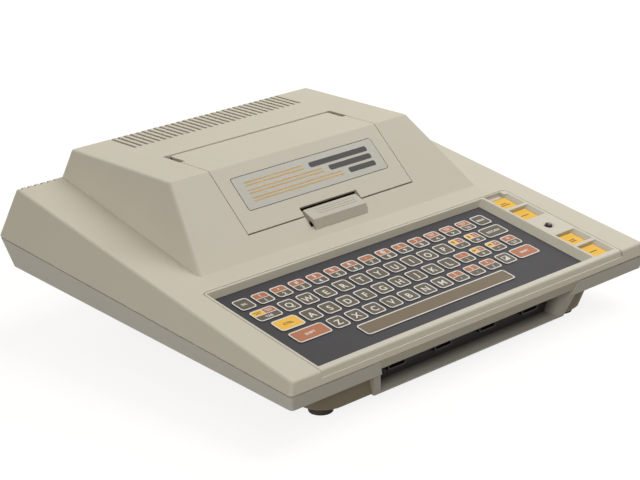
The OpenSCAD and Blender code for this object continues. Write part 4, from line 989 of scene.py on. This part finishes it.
# %% Marks on the function keys
CONSOLE_X = 129.9
CONSOLE_V = (95.6, 76.0, 32.5, 12.9)
CAP_OUT = -2.3
bars_up_and_long = [[(-1.2, 9.0), (1.0, 6.0)], [(0, 8.0)], [(0, 5.6), (-2.0, 5.6)], [(0, 7.4)]]
for k, (v, rows) in enumerate(zip(CONSOLE_V, bars_up_and_long)):
    marks = [
        slab(rounded(length, 0.9, [0.15] * 4, 3), (CONSOLE_X, v + dv), CAP_OUT + 0.005, CAP_OUT + 0.03)
        for dv, length in rows
    ]
    cap_body = f"console_key_{'abcd'[k]}"
    build(f"console_mark_{k + 1}", marks, on_deck, inks["dark"], cap_body)


# %% Numbers on the jack panel
PANEL_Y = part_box("jack_panel")[0].y * 1000
JACK_X = [(i - 1.5) * 43 for i in range(4)]
NUMBER_LEFT = 15.5
NUMBER_Z = 27.2


def on_panel(points):
    """Across stays X, up becomes Z, and out of the panel is towards the front, so Y falls."""
    across, upward, outward = np.asarray(points, float).T
    return np.stack([across, PANEL_Y - outward, upward], 1) / 1000


numbers = [words(str(i + 1), 4.6, (x - NUMBER_LEFT, NUMBER_Z), 0.0, 0.04) for i, x in enumerate(JACK_X)]
panel_ink = ink("ink_panel_grey", "#8b8986", "#7f7d7a")
build("jack_numbers", numbers, on_panel, panel_ink, "case")

# %% [markdown]
# ## The plate on the door
# The silver plate on the hump has a quiet printed design: three dark bands on the right that step back as
# they go down, and three pairs of amber pinstripes that run towards them from the left, inside a thin
# dark rim. Each stripe is a flat rounded slab, like the prints on the keys.

# %% Plate design
PLATE_W, PLATE_H, PLATE_TOP = 133, 26.4, -10
PLATE_V = PLATE_TOP - PLATE_H / 2
PLATE_OUT = 0.05
PLATE_INK = 0.03
DESIGN_END = 58
RIM = 0.3


def stripe(x0, x1, v, height):
    """A rounded bar from x0 to x1, v over the plate's middle, with corners of 0.3 of its height."""
    outline = rounded(x1 - x0, height, [height * 0.3] * 4, 3)
    return slab(outline, ((x0 + x1) / 2, PLATE_V + v), PLATE_OUT, PLATE_OUT + PLATE_INK)


band_starts = ((2, 6.2), (17, 0), (32, -6.2))
dark_bands = [stripe(x, DESIGN_END, v, 4.2) for x, v in band_starts]
amber_lines = [stripe(-DESIGN_END, x - 6, v + dv, 0.9) for x, v in band_starts for dv in (-1.2, 1.2)]
rim_outer = rounded(PLATE_W, PLATE_H, [1.8] * 4)
rim_inner = rounded(PLATE_W - 2 * RIM, PLATE_H - 2 * RIM, [1.5] * 4)
dark_bands.append(ring(rim_outer, rim_inner, (0, PLATE_V), PLATE_OUT, PLATE_OUT + PLATE_INK))
plate_dark = ink("ink_plate_dark", "#4f4e4c", "#454442", 0.5)
plate_amber = ink("ink_plate_amber", "#d0a95c", "#c49c50", 0.45)
build("plate_bands", dark_bands, on_hump_face, plate_dark, "door")
build("plate_lines", amber_lines, on_hump_face, plate_amber, "door")

# %% [markdown]
# ## Floor
# The machine stands on white paper. White paper would throw much light up at the lower faces, which are
# dark in the photograph, so as a surface it is a brownish grey. Instead it glows, but only for the camera
# and in reflections: it reads as near white and still takes the machine's shadow. From half a metre
# outwards the glow rises to full white, and so the floor meets the white world without a seam.

# %% Floor
FLOOR_REACH = 6.0
GLOW_NEAR, NEAR = (0.86, 0.86, 0.86, 1), 0.5
GLOW_FAR, FAR = (1, 1, 1, 1), 1.6
paper = Graph(bpy.data.materials.new("white_paper"))
distance = paper.node("ShaderNodeVectorMath", {"operation": "LENGTH"}, {0: paper.place()}).outputs["Value"]
glow_colour = paper.blend(Field(paper, distance).ramp(NEAR, FAR), GLOW_NEAR, GLOW_FAR)
glow = paper.node("ShaderNodeEmission", {}, {"Color": glow_colour, "Strength": paper.seen_directly()})
matt = paper.node("ShaderNodeBsdfDiffuse", {}, {"Color": (0.22, 0.2, 0.17, 1)})
both = paper.node("ShaderNodeAddShader", {}, {0: matt.outputs[0], 1: glow.outputs[0]})
paper.node("ShaderNodeOutputMaterial", {}, {"Surface": both.outputs[0]})

corners = [(x * FLOOR_REACH, y * FLOOR_REACH, 0) for x, y in ((-1, -1), (1, -1), (1, 1), (-1, 1))]
floor_mesh = bpy.data.meshes.new("floor")
floor_mesh.from_pydata(corners, [], [(0, 1, 2, 3)])
floor_mesh.materials.append(paper.owner)
floor = add_object("floor", floor_mesh)
print("floor reaches", FLOOR_REACH, "m each way")

# %% [markdown]
# ## World
# The photograph's background is pure white. A room as bright as that would also light the machine from
# all sides and wash its shadows out, so the world is white to the camera and to reflections, and gives
# hardly any light of its own.

# %% World
AMBIENT = 0.02
room = Graph(bpy.data.worlds.new("white_room"))
scene.world = room.owner
strength = room.seen_directly() * (1 - AMBIENT) + AMBIENT
white = room.node("ShaderNodeBackground", {}, {"Color": (1, 1, 1, 1), "Strength": strength})
room.node("ShaderNodeOutputWorld", {}, {"Surface": white.outputs[0]})
print("ambient light", AMBIENT)

# %% [markdown]
# ## Lamps
# In the photograph the top faces are the lightest, the left side is darker and the front of the lip
# darker still. One large soft box above on the right does most of that, and four weaker ones fill in.
# Lamps add up, so each was rendered by itself, and the five powers are the shares whose sum comes nearest
# to the tones of the photograph, in watts.

# %% Lamps
AIM = Vector((0, 0, 0.05))


def soft_box(name, place, size, power):
    """A square lamp at place, turned towards AIM: its own Z is the direction from AIM to place."""
    data = bpy.data.lights.new(name, "AREA")
    data.shape = "SQUARE"
    data.size = size
    data.energy = power
    box = add_object(name, data)
    turn = (Vector(place) - AIM).to_track_quat("Z", "Y").to_matrix().to_4x4()
    box.matrix_world = Matrix.Translation(Vector(place)) @ turn


soft_box("soft_box_above_right", (1.2, 0, 1.6), 1.4, 30)
soft_box("soft_box_above_front", (0, -1.2, 1.7), 1.4, 5.8)
soft_box("fill_front_left", (-1.35, -1.35, 0.9), 1.2, 14)
soft_box("fill_back", (0, 1.9, 1.0), 1.2, 11.5)
soft_box("fill_low_left", (-2.0, 0.2, 0.35), 0.8, 8.4)
scene.view_settings.view_transform = "Standard"
print("lights are on")
